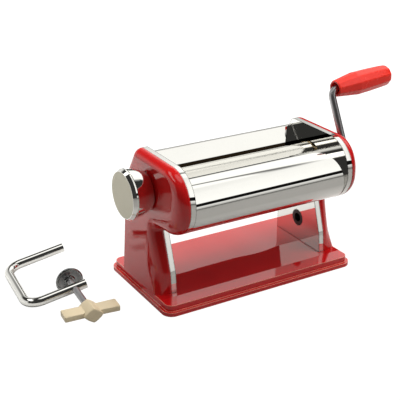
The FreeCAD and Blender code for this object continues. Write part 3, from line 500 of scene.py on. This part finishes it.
@dataclass(frozen=True)
class SpunFace(Finish):
    """A lathe-spun metal face whose rings run round the knob's axis."""

    middle: tuple[float, float]
    colour: Colour = (0.48, 0.45, 0.36)
    shade: Colour = (0.39, 0.365, 0.295)
    metal: float = 0.75
    cloud_scale: float = 60.0
    ring_pitch: float = 0.45 * MM
    ring_height: float = 0.012 * MM
    ring_share: float = 0.4
    rough: float = 0.36
    ring_rough: float = 0.06
    cloud_rough: float = 0.1

    def draw(self, graph: Graph) -> None:
        """Draw rings about the knob's axis.

        Args:
            graph: the material's empty tree.
        """
        across = graph.axis("Y") - self.middle[0]
        upward = graph.axis("Z") - self.middle[1]
        radius = (across * across + upward * upward) ** 0.5
        rings = (radius * (2.0 * math.pi / self.ring_pitch)).sine() * 0.5 + 0.5
        cloud = graph.noise(self.cloud_scale)
        mottle = rings * self.ring_share + cloud * (1.0 - self.ring_share)
        graph.surface({"Metallic": self.metal}, {
            "Base Color": graph.between(mottle, self.shade, self.colour),
            "Roughness": rings * self.ring_rough + cloud * self.cloud_rough + self.rough,
            "Normal": graph.bump(rings * self.ring_height),
        })


class Skin(Enum):
    """The finishes that the pieces take."""

    CHROME = BrightMetal("chrome_plate", polish=0.01, smear=0.03, wave=0.25)
    # PLATE has painted shade along its edges, and FEED_SHEET on its lip and top fold
    PLATE = EdgedPlate("edged_chrome", polish=0.01, smear=0.03, wave=0.15)
    FEED_SHEET = FeedSheet("feed_sheet", polish=0.01, smear=0.03, wave=0.25)
    KNOB_CHROME = BrightMetal("knob_chrome", polish=0.03, smear=0.06)
    ZINC = BrightMetal(
        "zinc_plate", (0.54, 0.53, 0.54), (0.46, 0.45, 0.46),
        polish=0.34, smear=0.12, lines=(1, 1, 0.06), line_depth=0.1)
    DULL_ZINC = BrightMetal(
        "dull_zinc", (0.42, 0.43, 0.43), (0.24, 0.25, 0.25),
        polish=0.2, smear=0.2, line_depth=0.4)
    STEEL = BrightMetal(
        "plain_steel", (0.56, 0.56, 0.57), (0.46, 0.46, 0.47),
        polish=0.22, smear=0.14, lines=(0.04, 1, 1), line_depth=0.2)
    ROLLER = BrightMetal(
        "ground_roller", (0.8, 0.78, 0.73), (0.7, 0.68, 0.62),
        polish=0.1, smear=0.08, lines=(3, 0.05, 0.05), line_depth=0.15)
    BRONZE = BrightMetal(
        "sintered_bronze", (0.66, 0.5, 0.28), (0.5, 0.36, 0.18),
        polish=0.25, smear=0.15, line_depth=0.2)
    # the third colour of each red paint is a painted highlight along its edges
    RED = GlossPaint(
        "red_gloss_paint", (0.42, 0.006, 0.008), (0.58, 0.012, 0.01), (0.7, 0.03, 0.02))
    BASE_RED = PressedPaint(
        "base_gloss_paint", (0.48, 0.006, 0.009), (0.62, 0.011, 0.011), (1.0, 0.42, 0.3))
    GRIP = MouldedPlastic(
        "grip_plastic", (0.84, 0.034, 0.02), (0.76, 0.027, 0.016),
        rough=0.26, grain=0.03, index=1.42)
    CREAM = MouldedPlastic(
        "cream_plastic", (0.62, 0.52, 0.35), (0.57, 0.47, 0.31), rough=0.42, grain=0.06)
    BLACK = MouldedPlastic(
        "black_plastic", (0.012, 0.012, 0.012), (0.008, 0.008, 0.008), rough=0.5)
    RUBBER = MouldedPlastic(
        "black_rubber", (0.02, 0.02, 0.02), (0.014, 0.014, 0.014), rough=0.7, grain=0.1)


class Mesher:
    """Makes closed meshes from rings of points."""

    @staticmethod
    def skin(
        name: str, rings: Sequence[Sequence[Vector]], skin: Skin, sharp: float
    ) -> bpy.types.Object:
        """Join rings of equal count into a closed piece with flat ends.

        Args:
            name: the piece's name.
            rings: loops of points, in order along the piece.
            skin: what it is dressed in.
            sharp: edges that turn by more than this many degrees stay sharp.

        Returns:
            The new object.
        """
        work = bmesh.new()
        loops = [[work.verts.new(point) for point in ring] for ring in rings]
        count = len(loops[0])
        for low, high in zip(loops, loops[1:]):
            for index in range(count):
                after = (index + 1) % count
                work.faces.new((low[index], low[after], high[after], high[index]))
        work.faces.new(list(reversed(loops[0])))
        work.faces.new(loops[-1])
        bmesh.ops.recalc_face_normals(work, faces=work.faces)
        mesh = bpy.data.meshes.new(name)
        work.to_mesh(mesh)
        work.free()
        smooth(mesh, sharp)
        piece = bpy.data.objects.new(name, mesh)
        bpy.context.collection.objects.link(piece)
        mesh.materials.append(skin.value.material())
        return piece


def smooth(mesh: bpy.types.Mesh, sharp: float) -> None:
    """Shade a mesh smooth, apart from edges that turn by more than an angle in degrees."""
    mesh.shade_smooth()
    mesh.set_sharp_from_angle(angle=math.radians(sharp))


def soften(names: Iterable[str], nodes: Nodes, width: float) -> None:
    """Round the sharp edges of CAD nodes, without a change to their own points.

    Args:
        names: which nodes.
        nodes: all CAD nodes.
        width: how wide the rounding is.
    """
    for name in names:
        node = nodes[name]
        weld = node.modifiers.new("Weld", "WELD")
        weld.merge_threshold = WELD_REACH
        bevel = node.modifiers.new("Bevel", "BEVEL")
        bevel.width = width
        bevel.segments = BEVEL_SEGMENTS
        bevel.limit_method = "ANGLE"
        bevel.angle_limit = math.radians(BEVEL_ANGLE)
        bevel.harden_normals = True
        flat = node.modifiers.new("Flat", "WEIGHTED_NORMAL")
        flat.keep_sharp = True


def dress(names: Iterable[str], skin: Skin, nodes: Nodes) -> None:
    """Give CAD nodes a finish."""
    for name in names:
        dress_with(name, skin.value, nodes)


def dress_with(name: str, finish: Finish, nodes: Nodes) -> None:
    """Give one CAD node a finish and smooth shading.

    Args:
        name: the node's name.
        finish: what it is dressed in.
        nodes: all CAD nodes.
    """
    mesh = nodes[name].data
    mesh.materials.clear()
    mesh.materials.append(finish.material())
    smooth(mesh, CAD_SHARP)
    LOG.info("dressed %s in %s", name, finish.name)


@dataclass
class Axle:
    """A line in the model with a square pair of directions about it."""

    start: Vector
    along: Vector
    first: Vector
    second: Vector = field(init=False)

    def __post_init__(self) -> None:
        """Square up the directions."""
        self.along = self.along.normalized()
        self.first = self.off(self.first).normalized()
        self.second = self.along.cross(self.first)

    def off(self, offset: Vector) -> Vector:
        """The part of an offset that lies square to the line."""
        return offset - self.along * offset.dot(self.along)

    def at(self, reach: float, first: float, second: float) -> Vector:
        """A point by its distance along the line and off it."""
        return self.start + self.along * reach + self.first * first + self.second * second

    def around(self, reach: float, radius: float, turn: float) -> Vector:
        """A point by its distance along the line, its radius and its turn."""
        return self.at(reach, radius * math.cos(turn), radius * math.sin(turn))

    def circle(self, reach: float, radius: float, count: int) -> list[Vector]:
        """A ring of points round the line."""
        return [self.around(reach, radius, turn) for turn in turns(count)]

    def span(self, node: bpy.types.Object) -> tuple[float, float, float]:
        """Measure a CAD node about the line.

        Args:
            node: the node.

        Returns:
            Where it starts and ends along the line, and how far off the line it reaches.
        """
        offsets = [vertex.co - self.start for vertex in node.data.vertices]
        reaches = [offset.dot(self.along) for offset in offsets]
        return min(reaches), max(reaches), max(self.off(offset).length for offset in offsets)


def turns(count: int) -> list[float]:
    """The angles of a number of even steps round a circle."""
    return [2 * math.pi * index / count for index in range(count)]


def joint_axle(frame: dict[str, Any], name: str, first: Vector) -> Axle:
    """The axle of a joint, with its first direction given."""
    joint = next(item for item in frame["joints"] if item["name"] == name)
    return Axle(Vector(joint["pos_m"]), Vector(joint["axis"]), first)


@dataclass
class Body:
    """The painted base, the side plates and the chrome housing."""

    nodes: Nodes
    painted: tuple[str, ...] = ("left_end_cover", "right_end_cover")
    plated: tuple[str, ...] = ("left_side_plate", "right_side_plate")
    plain: tuple[str, ...] = (
        "base_screws", "foot_bars", "cover_screws", "tie_rods", "tie_rod_nuts", "front_scraper",
        "detent_spring")
    paint_edge: float = 0.7 * MM
    plate_edge: float = 0.5 * MM

    def dress(self) -> None:
        """Dress the fixed pieces."""
        dress(self.painted, Skin.RED, self.nodes)
        dress(("base_plate",), Skin.BASE_RED, self.nodes)
        soften((*self.painted, "base_plate"), self.nodes, self.paint_edge)
        dress(self.plated, Skin.PLATE, self.nodes)
        dress(("front_shell",), Skin.CHROME, self.nodes)
        dress(("rear_cover",), Skin.FEED_SHEET, self.nodes)
        soften(self.plated, self.nodes, self.plate_edge)
        dress(self.plain, Skin.STEEL, self.nodes)
        dress(("rubber_feet",), Skin.RUBBER, self.nodes)
        dress(("clamp_socket",), Skin.BLACK, self.nodes)
        dress(("drive_bushes", "knob_bush"), Skin.BRONZE, self.nodes)


@dataclass
class RollerTrain:
    """The two rollers, their gears and the sliding carriage."""

    nodes: Nodes
    plain: tuple[str, ...] = (
        "drive_gear", "idler_gear", "drive_circlips", "idler_circlip", "carriage_bar",
        "rear_scraper", "cam_follower")

    def dress(self) -> None:
        """Dress the turning and sliding pieces."""
        dress(("drive_roller", "idler_roller"), Skin.ROLLER, self.nodes)
        dress(self.plain, Skin.STEEL, self.nodes)
        dress(("left_bearing_block", "right_bearing_block"), Skin.BRONZE, self.nodes)


@dataclass
class Regulator:
    """The chrome thickness knob with its spun face."""

    nodes: Nodes
    axle: Axle

    def dress(self) -> None:
        """Dress the knob and what turns with it."""
        dress(("regulator_knob",), Skin.KNOB_CHROME, self.nodes)
        dress(("cam_disc", "knob_screw"), Skin.STEEL, self.nodes)
        face = SpunFace("spun_face", (self.axle.start.y, self.axle.start.z))
        dress_with("knob_face", face, self.nodes)


@dataclass
class Crank:
    """The bent crank arm and its faceted grip.

    The grip's stations hold shares of its length with radii in millimetres.
    """

    nodes: Nodes
    axle: Axle
    facets: int = 10
    corner: float = math.radians(3.0)
    mouth_radius: float = 6.3 * MM
    mouth_taper: float = 0.95
    mouth_depth: float = 6.0 * MM
    lip: float = 0.8 * MM
    stations: Profile = (
        (0.0, 7.9), (0.012, 8.4), (0.36, 11.7), (0.362, 11.72), (0.6, 11.5), (0.8, 11.0),
        (0.915, 10.6), (0.94, 10.35), (0.962, 9.9), (0.98, 9.2), (0.992, 8.3), (1.0, 7.0))

    def dress(self) -> None:
        """Dress the arm and build the grip."""
        dress(("crank_arm",), Skin.ZINC, self.nodes)
        grip = self.build_grip()
        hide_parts("crank_grip")
        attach(grip, "grip")
        LOG.info("built %s", grip.name)

    def facet_ring(self, reach: float, radius: float) -> list[Vector]:
        """A ring with flats and narrow corners.

        Args:
            reach: how far along the axle it lies.
            radius: how far its corners lie off the axle.

        Returns:
            The points in order.
        """
        sides = (-self.corner, self.corner)
        corners = [turn + side for turn in turns(self.facets) for side in sides]
        return [self.axle.around(reach, radius, corner) for corner in corners]

    def build_grip(self) -> bpy.types.Object:
        """Build the moulded grip with the open mouth that the rod goes into.

        Returns:
            The grip.
        """
        low, high, _ = self.axle.span(self.nodes["crank_grip"])
        mouth = ((self.mouth_depth, self.mouth_radius * self.mouth_taper),
                 (self.lip, self.mouth_radius), (0.0, self.mouth_radius + self.lip / 2))
        rings = [self.axle.circle(low + depth, size, self.facets * 2) for depth, size in mouth]
        for share, radius in self.stations:
            rings.append(self.facet_ring(low + (high - low) * share, radius * MM))
        return Mesher.skin("moulded_grip", rings, Skin.GRIP, sharp=6.0)


@dataclass
class TableClamp:
    """The bent rod clamp with its pressure disc, screw and wing knob.

    Each profile holds millimetres along the axle from one end of the piece, with millimetres of
    radius from the size that it is turned about. The blade's stations hold shares of its reach
    with shares of its width.
    """

    nodes: Nodes
    axle: Axle
    sides: int = 40
    thread_pitch: float = 1.5 * MM
    thread_depth: float = 0.5 * MM
    steps_per_turn: int = 6
    boss_radius: float = 5.2 * MM
    boss: Profile = ((0.0, -1.8), (0.0, -0.8), (0.5, 0.0), (1.3, 0.5))
    rolled_rim: Profile = (
        (1.3, -4.5), (0.2, -2.6), (0.0, -1.4), (0.5, -0.4), (1.4, 0.0), (2.6, -0.3), (3.0, -1.2))
    stud_radius: float = 4.0 * MM
    stud_root: Profile = ((3.0, 0.6), (3.4, 0.0))
    stud_end: Profile = ((-0.9, 0.0), (-0.2, -0.7), (0.0, -1.6))
    hub_radius: float = 7.2 * MM
    hub_low: Profile = ((0.0, -2.4), (0.0, -1.2), (0.36, -0.36), (1.2, 0.0))
    hub_high: Profile = ((-1.8, -0.216), (-0.48, -0.72), (0.0, -1.728), (0.0, -4.32))
    hub_power: float = 1.25
    hub_stretch: float = 1.25
    wing_edge: float = 1.0 * MM
    wing_edge_steps: int = 4
    wing_half_width: float = 7.5 * MM
    wing_half_thick: float = 2.75 * MM
    wing_reach: float = 0.95
    wing_tip: float = 0.9
    wing_stations: Profile = (
        (-1.0, 0.9), (-0.975, 1.0), (-0.6, 0.96), (-0.25, 0.93), (0.25, 0.93), (0.6, 0.96),
        (0.975, 1.0), (1.0, 0.9))

    def dress(self) -> None:
        """Dress the rod and build the turning pieces."""
        dress(("clamp_frame",), Skin.CHROME, self.nodes)
        made = ((self.build_disc(), "clamp_disc", "clamp_foot", "zinc_steel"),
                (self.build_screw(), "clamp_screw", "clamp_turner", "zinc_steel"),
                (self.build_wing(), "wing_knob", "clamp_turner", "cream_plastic"))
        for piece, node, body, slot in made:
            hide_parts(node)
            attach(piece, body)
            LOG.info("built %s", piece.name)

    def build_disc(self) -> bpy.types.Object:
        """Build the pressed disc: a rolled edge, a shallow dish and the screw's riveted stud.

        Returns:
            The disc.
        """
        low, high, radius = self.axle.span(self.nodes["clamp_disc"])
        turned = ((low, self.boss_radius, self.boss), (low, radius, self.rolled_rim),
                  (low, self.stud_radius, self.stud_root), (high, self.stud_radius, self.stud_end))
        rings = [self.axle.circle(start + reach * MM, size + out * MM, self.sides)
                 for start, size, profile in turned for reach, out in profile]
        return Mesher.skin("dished_disc", rings, Skin.DULL_ZINC, sharp=45.0)

    def build_screw(self) -> bpy.types.Object:
        """Build the screw with a rolled thread.

        Returns:
            The screw.
        """
        low, high, radius = self.axle.span(self.nodes["clamp_screw"])
        count = int((high - low) / self.thread_pitch * self.steps_per_turn)
        rings = []
        for step in range(count + 1):
            reach = low + (high - low) * step / count
            ring = []
            for turn in turns(self.sides):
                phase = ((reach - low) / self.thread_pitch - turn / (2 * math.pi)) % 1.0
                size = radius - self.thread_depth * abs(2.0 * phase - 1.0)
                ring.append(self.axle.around(reach, size, turn))
            rings.append(ring)
        return Mesher.skin("threaded_screw", rings, Skin.ZINC, sharp=60.0)

    def build_wing(self) -> bpy.types.Object:
        """Build the moulded hub and join its two flat wings to it.

        Returns:
            The wing knob.
        """
        low, high, reach = self.axle.span(self.nodes["wing_knob"])
        rings = [self.diamond(start + along * MM, self.hub_radius + out * MM)
                 for start, profile in ((low, self.hub_low), (high, self.hub_high))
                 for along, out in profile]
        barrel = Mesher.skin("wing_hub", rings, Skin.CREAM, sharp=30.0)
        blade = self.build_blade((low + high) / 2, reach)
        union = barrel.modifiers.new("Union", "BOOLEAN")
        union.operation = "UNION"
        union.object = blade
        graph = bpy.context.evaluated_depsgraph_get()
        mesh = bpy.data.meshes.new_from_object(barrel.evaluated_get(graph))
        barrel.modifiers.clear()
        barrel.data = mesh
        bpy.data.objects.remove(blade)
        smooth(mesh, sharp=34.0)
        barrel.name = "moulded_wing_knob"
        return barrel

    def diamond(self, reach: float, size: float) -> list[Vector]:
        """A lozenge with soft corners round the axle, longer along the wings.

        Args:
            reach: how far along the axle it lies.
            size: half its height across the wings.

        Returns:
            The points in order.
        """
        power = self.hub_power
        ring = []
        for turn in turns(self.sides):
            across, up = math.cos(turn), math.sin(turn)
            share = size * (abs(across) ** power + abs(up) ** power) ** (-1.0 / power)
            ring.append(self.axle.at(reach, share * self.hub_stretch * across, share * up))
        return ring

    def build_blade(self, middle: float, reach: float) -> bpy.types.Object:
        """Build the flat wings across the hub, a little wider towards their tips.

        Args:
            middle: where along the axle they lie.
            reach: how far the CAD solid's corners lie off the axle.

        Returns:
            The wings as one blade.
        """
        half = math.sqrt(reach * reach - self.wing_half_thick ** 2) * self.wing_reach
        rings = []
        for share, size in self.wing_stations:
            thick = self.wing_half_thick * (size if abs(share) > self.wing_tip else 1.0)
            section = rounded_box(
                self.wing_half_width * size, thick, self.wing_edge, self.wing_edge_steps)
            rings.append([self.axle.at(middle + at, half * share, off) for at, off in section])
        return Mesher.skin("wing_blade", rings, Skin.CREAM, sharp=40.0)


def rounded_box(
    half_width: float, half_height: float, radius: float, steps: int
) -> list[tuple[float, float]]:
    """Points of a rounded rectangle.

    Args:
        half_width: half its first side.
        half_height: half its second side.
        radius: its corner radius.
        steps: points per corner, less one.

    Returns:
        The points in order.
    """
    points = []
    for index, (across, up) in enumerate(((1, 1), (-1, 1), (-1, -1), (1, -1))):
        for step in range(steps + 1):
            turn = math.pi / 2 * (index + step / steps)
            points.append((across * (half_width - radius) + radius * math.cos(turn),
                           up * (half_height - radius) + radius * math.sin(turn)))
    return points


@dataclass(frozen=True)
class Lamp:
    """A square soft light: its name, where it hangs, its side and its watts."""

    name: str
    spot: Spot
    size: float
    power: float

    def build(self, target: Spot) -> None:
        """Hang the light so that it faces a point and bright surfaces don't show it.

        Args:
            target: the point.
        """
        lamp = bpy.data.lights.new(self.name, "AREA")
        lamp.shape = "SQUARE"
        lamp.size = self.size
        lamp.energy = self.power
        light = bpy.data.objects.new(self.name, lamp)
        light.location = self.spot
        light.visible_glossy = False
        aim = Vector(target) - Vector(self.spot)
        light.rotation_mode = "QUATERNION"
        light.rotation_quaternion = aim.to_track_quat("-Z", "Y")
        bpy.context.collection.objects.link(light)


@dataclass
class Studio:
    """The pale floor, the soft lights, the cloth tent and the camera.

    Heights and sides of the tent are those of a direction one unit long: 1 is straight up, or
    straight towards +X.
    """

    eye: Spot = (-0.44597, -0.69631, 0.42562)
    right: Spot = (0.86207, -0.50680, 0.0)
    upward: Spot = (0.19900, 0.33850, 0.91970)
    backward: Spot = (-0.46610, -0.79284, 0.39266)
    lens: float = 82.74
    sensor: float = 36.0
    sight: tuple[float, float] = (0.05, 60.0)
    target: Spot = (0.0, 0.0, 0.06)
    lamps: tuple[Lamp, ...] = (
        Lamp("key", (0.25, -0.2, 1.6), 1.2, 15.0),
        Lamp("window", (0.8, -0.7, 0.9), 0.8, 6.0),
        Lamp("side", (-0.85, -0.25, 1.4), 0.4, 0.8),
        Lamp("fill", (-1.2, -0.75, 0.55), 0.35, 0.15),
        Lamp("back", (0.05, 0.6, 1.4), 0.6, 10.0),
    )
    floor_half: float = 7.0
    floor_front: Colour = (0.26, 0.255, 0.245)
    floor_back: Colour = (0.9, 0.9, 0.88)
    floor_turn: float = -0.15
    floor_gain: float = 2.5
    floor_cloud_scale: float = 2.0
    floor_cloud: float = 0.06
    floor_glow: float = 0.85
    floor_glow_strength: float = 1.18
    cloth: Colour = (1.0, 1.0, 0.97)
    tent_strength: float = 1.24
    front_stops: Profile = (
        (0.0, 0.3), (0.5, 0.4), (0.566, 0.75), (0.574, 0.005), (0.655, 0.005), (0.665, 0.97),
        (0.9, 0.9), (1.0, 0.7))
    far_side: float = 0.6
    far_gain: float = 14.0
    far_top: float = 0.8
    far_top_gain: float = 12.0
    far_most: float = 0.97
    behind_start: float = -0.05
    behind_gain: float = 8.0
    backdrop_foot: float = 0.22
    backdrop_gain: float = 6.0
    backdrop_least: float = 0.02
    seam_height: float = 0.83
    seam_half: float = 0.022
    seam_dark: float = 0.85
    strip_height: float = 0.77
    strip_half: float = 0.07
    strip_most: float = 0.5
    strip_side: float = -0.1
    strip_gain: float = 6.0
    strip_strength: float = 3.5
    horizon_top: float = 0.55
    horizon_gain: float = 6.0
    horizon_strength: float = 0.65
    zenith_foot: float = 0.94
    zenith_gain: float = 30.0
    left_least: float = 0.03
    right_side: float = 0.3
    right_gain: float = 12.0

    def build(self) -> None:
        """Set up everything round the object."""
        self.build_floor()
        self.build_world()
        for lamp in self.lamps:
            lamp.build(self.target)
        self.build_camera()
        bpy.context.scene.view_settings.view_transform = "Standard"

    def build_floor(self) -> None:
        """Lay a floor that the camera sees as white, and that is darker in front of the object."""
        mesh = bpy.data.meshes.new("floor")
        half = self.floor_half
        corners = [(-half, -half, 0), (half, -half, 0), (half, half, 0), (-half, half, 0)]
        mesh.from_pydata(corners, [], [(0, 1, 2, 3)])
        floor = bpy.data.objects.new("floor", mesh)
        bpy.context.collection.objects.link(floor)
        material = bpy.data.materials.new("pale_floor")
        graph = Graph(material)
        slope = (graph.axis("Y") - self.floor_turn) * self.floor_gain
        cloud = graph.noise(self.floor_cloud_scale) * self.floor_cloud
        share = (slope + cloud).clamped(0.0, 1.0)
        tone = graph.between(share, self.floor_front, self.floor_back)
        matt = graph.node("ShaderNodeBsdfDiffuse", {}, {"Color": tone})
        inputs = {"Color": WHITE, "Strength": self.floor_glow_strength}
        glow = graph.node("ShaderNodeEmission", {}, inputs)
        seen = graph.node("ShaderNodeLightPath", {}, {}, "Is Camera Ray") * self.floor_glow
        mixed = graph.node("ShaderNodeMixShader", {}, {0: seen, 1: matt, 2: glow})
        graph.node("ShaderNodeOutputMaterial", {}, {"Surface": mixed})
        mesh.materials.append(material)

    def build_world(self) -> None:
        """Hang the tent: white to the camera, and light and dark cloths to all else."""
        world = bpy.data.worlds.new("tent")
        bpy.context.scene.world = world
        graph = Graph(world)
        direction = graph.node("ShaderNodeTexCoord", {}, {}, "Generated")
        side, depth, height = (graph.axis(name, direction) for name in "XYZ")
        behind = depth.rising(self.behind_start, self.behind_gain)
        right = self.right_cloths(graph, side, height, behind)
        left = self.left_cloths(side, height, behind)
        lit = left.towards(right, side.rising(self.right_side, self.right_gain))
        camera = graph.node("ShaderNodeLightPath", {}, {}, "Is Camera Ray")
        white = graph.node("ShaderNodeBackground", {}, {"Color": WHITE, "Strength": 1.0})
        inputs = {"Color": (*self.cloth, 1.0), "Strength": lit * self.tent_strength}
        cloth = graph.node("ShaderNodeBackground", {}, inputs)
        mixed = graph.node("ShaderNodeMixShader", {}, {0: camera, 1: cloth, 2: white})
        graph.node("ShaderNodeOutputWorld", {}, {"Surface": mixed})

    def right_cloths(self, graph: Graph, side: Value, height: Value, behind: Value) -> Value:
        """The right of the tent: a banded front, dark at its far side, and a seamed backdrop.

        Args:
            graph: the world's tree.
            side: a direction's part towards +X.
            height: its part upwards.
            behind: 0 in front of the object and 1 behind it.

        Returns:
            How bright the cloth is.
        """
        stops = {"stops": self.front_stops}
        front = graph.node("ShaderNodeValToRGB", stops, {0: height * 0.5 + 0.5})
        top = height.falling(self.far_top, self.far_top_gain, 0.0, self.far_most)
        far = side.rising(self.far_side, self.far_gain) * top
        seam = height.hump(self.seam_height, self.seam_half)
        backdrop = height.rising(self.backdrop_foot, self.backdrop_gain, self.backdrop_least)
        return (front * (1.0 - far)).towards(backdrop * (1.0 - seam * self.seam_dark), behind)

    def left_cloths(self, side: Value, height: Value, behind: Value) -> Value:
        """The left of the tent: dark, with a low horizon and a bright strip behind, and a lit top.

        Args:
            side: a direction's part towards +X.
            height: its part upwards.
            behind: 0 in front of the object and 1 behind it.

        Returns:
            How bright the cloth is.
        """
        strip = height.hump(self.strip_height, self.strip_half, self.strip_most)
        strip = strip * side.falling(self.strip_side, self.strip_gain) * self.strip_strength
        horizon = height.falling(self.horizon_top, self.horizon_gain) * self.horizon_strength
        zenith = height.rising(self.zenith_foot, self.zenith_gain)
        return (strip + horizon) * behind + zenith + self.left_least

    def build_camera(self) -> None:
        """Set up the camera at the photograph's angle."""
        data = bpy.data.cameras.new("camera")
        data.lens = self.lens
        data.sensor_width = self.sensor
        data.clip_start, data.clip_end = self.sight
        camera = bpy.data.objects.new("camera", data)
        turn = Matrix((self.right, self.upward, self.backward)).transposed()
        camera.matrix_world = Matrix.Translation(self.eye) @ turn.to_4x4()
        bpy.context.collection.objects.link(camera)
        bpy.context.scene.camera = camera


def wing_direction(frame: dict[str, Any], tip: float = 0.9) -> Vector:
    """Find the way that one wing of the clamp's knob points, from its CAD solid.

    Args:
        frame: the loaded frame.
        tip: points beyond this share of the wing's reach belong to its tips.

    Returns:
        A direction square to the clamp's screw.
    """
    axle = joint_axle(frame, "clamp_turn", Vector((0.0, 0.0, 1.0)))
    vertices = frame["nodes"]["wing_knob"].data.vertices
    radial = [axle.off(vertex.co - axle.start) for vertex in vertices]
    furthest = max(radial, key=lambda offset: offset.length)
    least = tip * furthest.length
    near = [offset for offset in radial if offset.length > least and offset.dot(furthest) > 0]
    return sum(near, Vector()).normalized()


def main() -> None:
    """Load the frame, dress it and set up the studio."""
    logging.basicConfig(level=logging.INFO, format="%(message)s")
    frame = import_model()
    nodes = frame["nodes"]
    upright = Vector((0.0, 0.0, 1.0))
    pieces: list[Any] = [
        Body(nodes),
        RollerTrain(nodes),
        Regulator(nodes, joint_axle(frame, "knob_turn", upright)),
        Crank(nodes, joint_axle(frame, "grip_spin", upright)),
        TableClamp(nodes, joint_axle(frame, "clamp_turn", wing_direction(frame))),
    ]
    for piece in pieces:
        piece.dress()
    Studio().build()


if __name__ == "__main__":
    main()
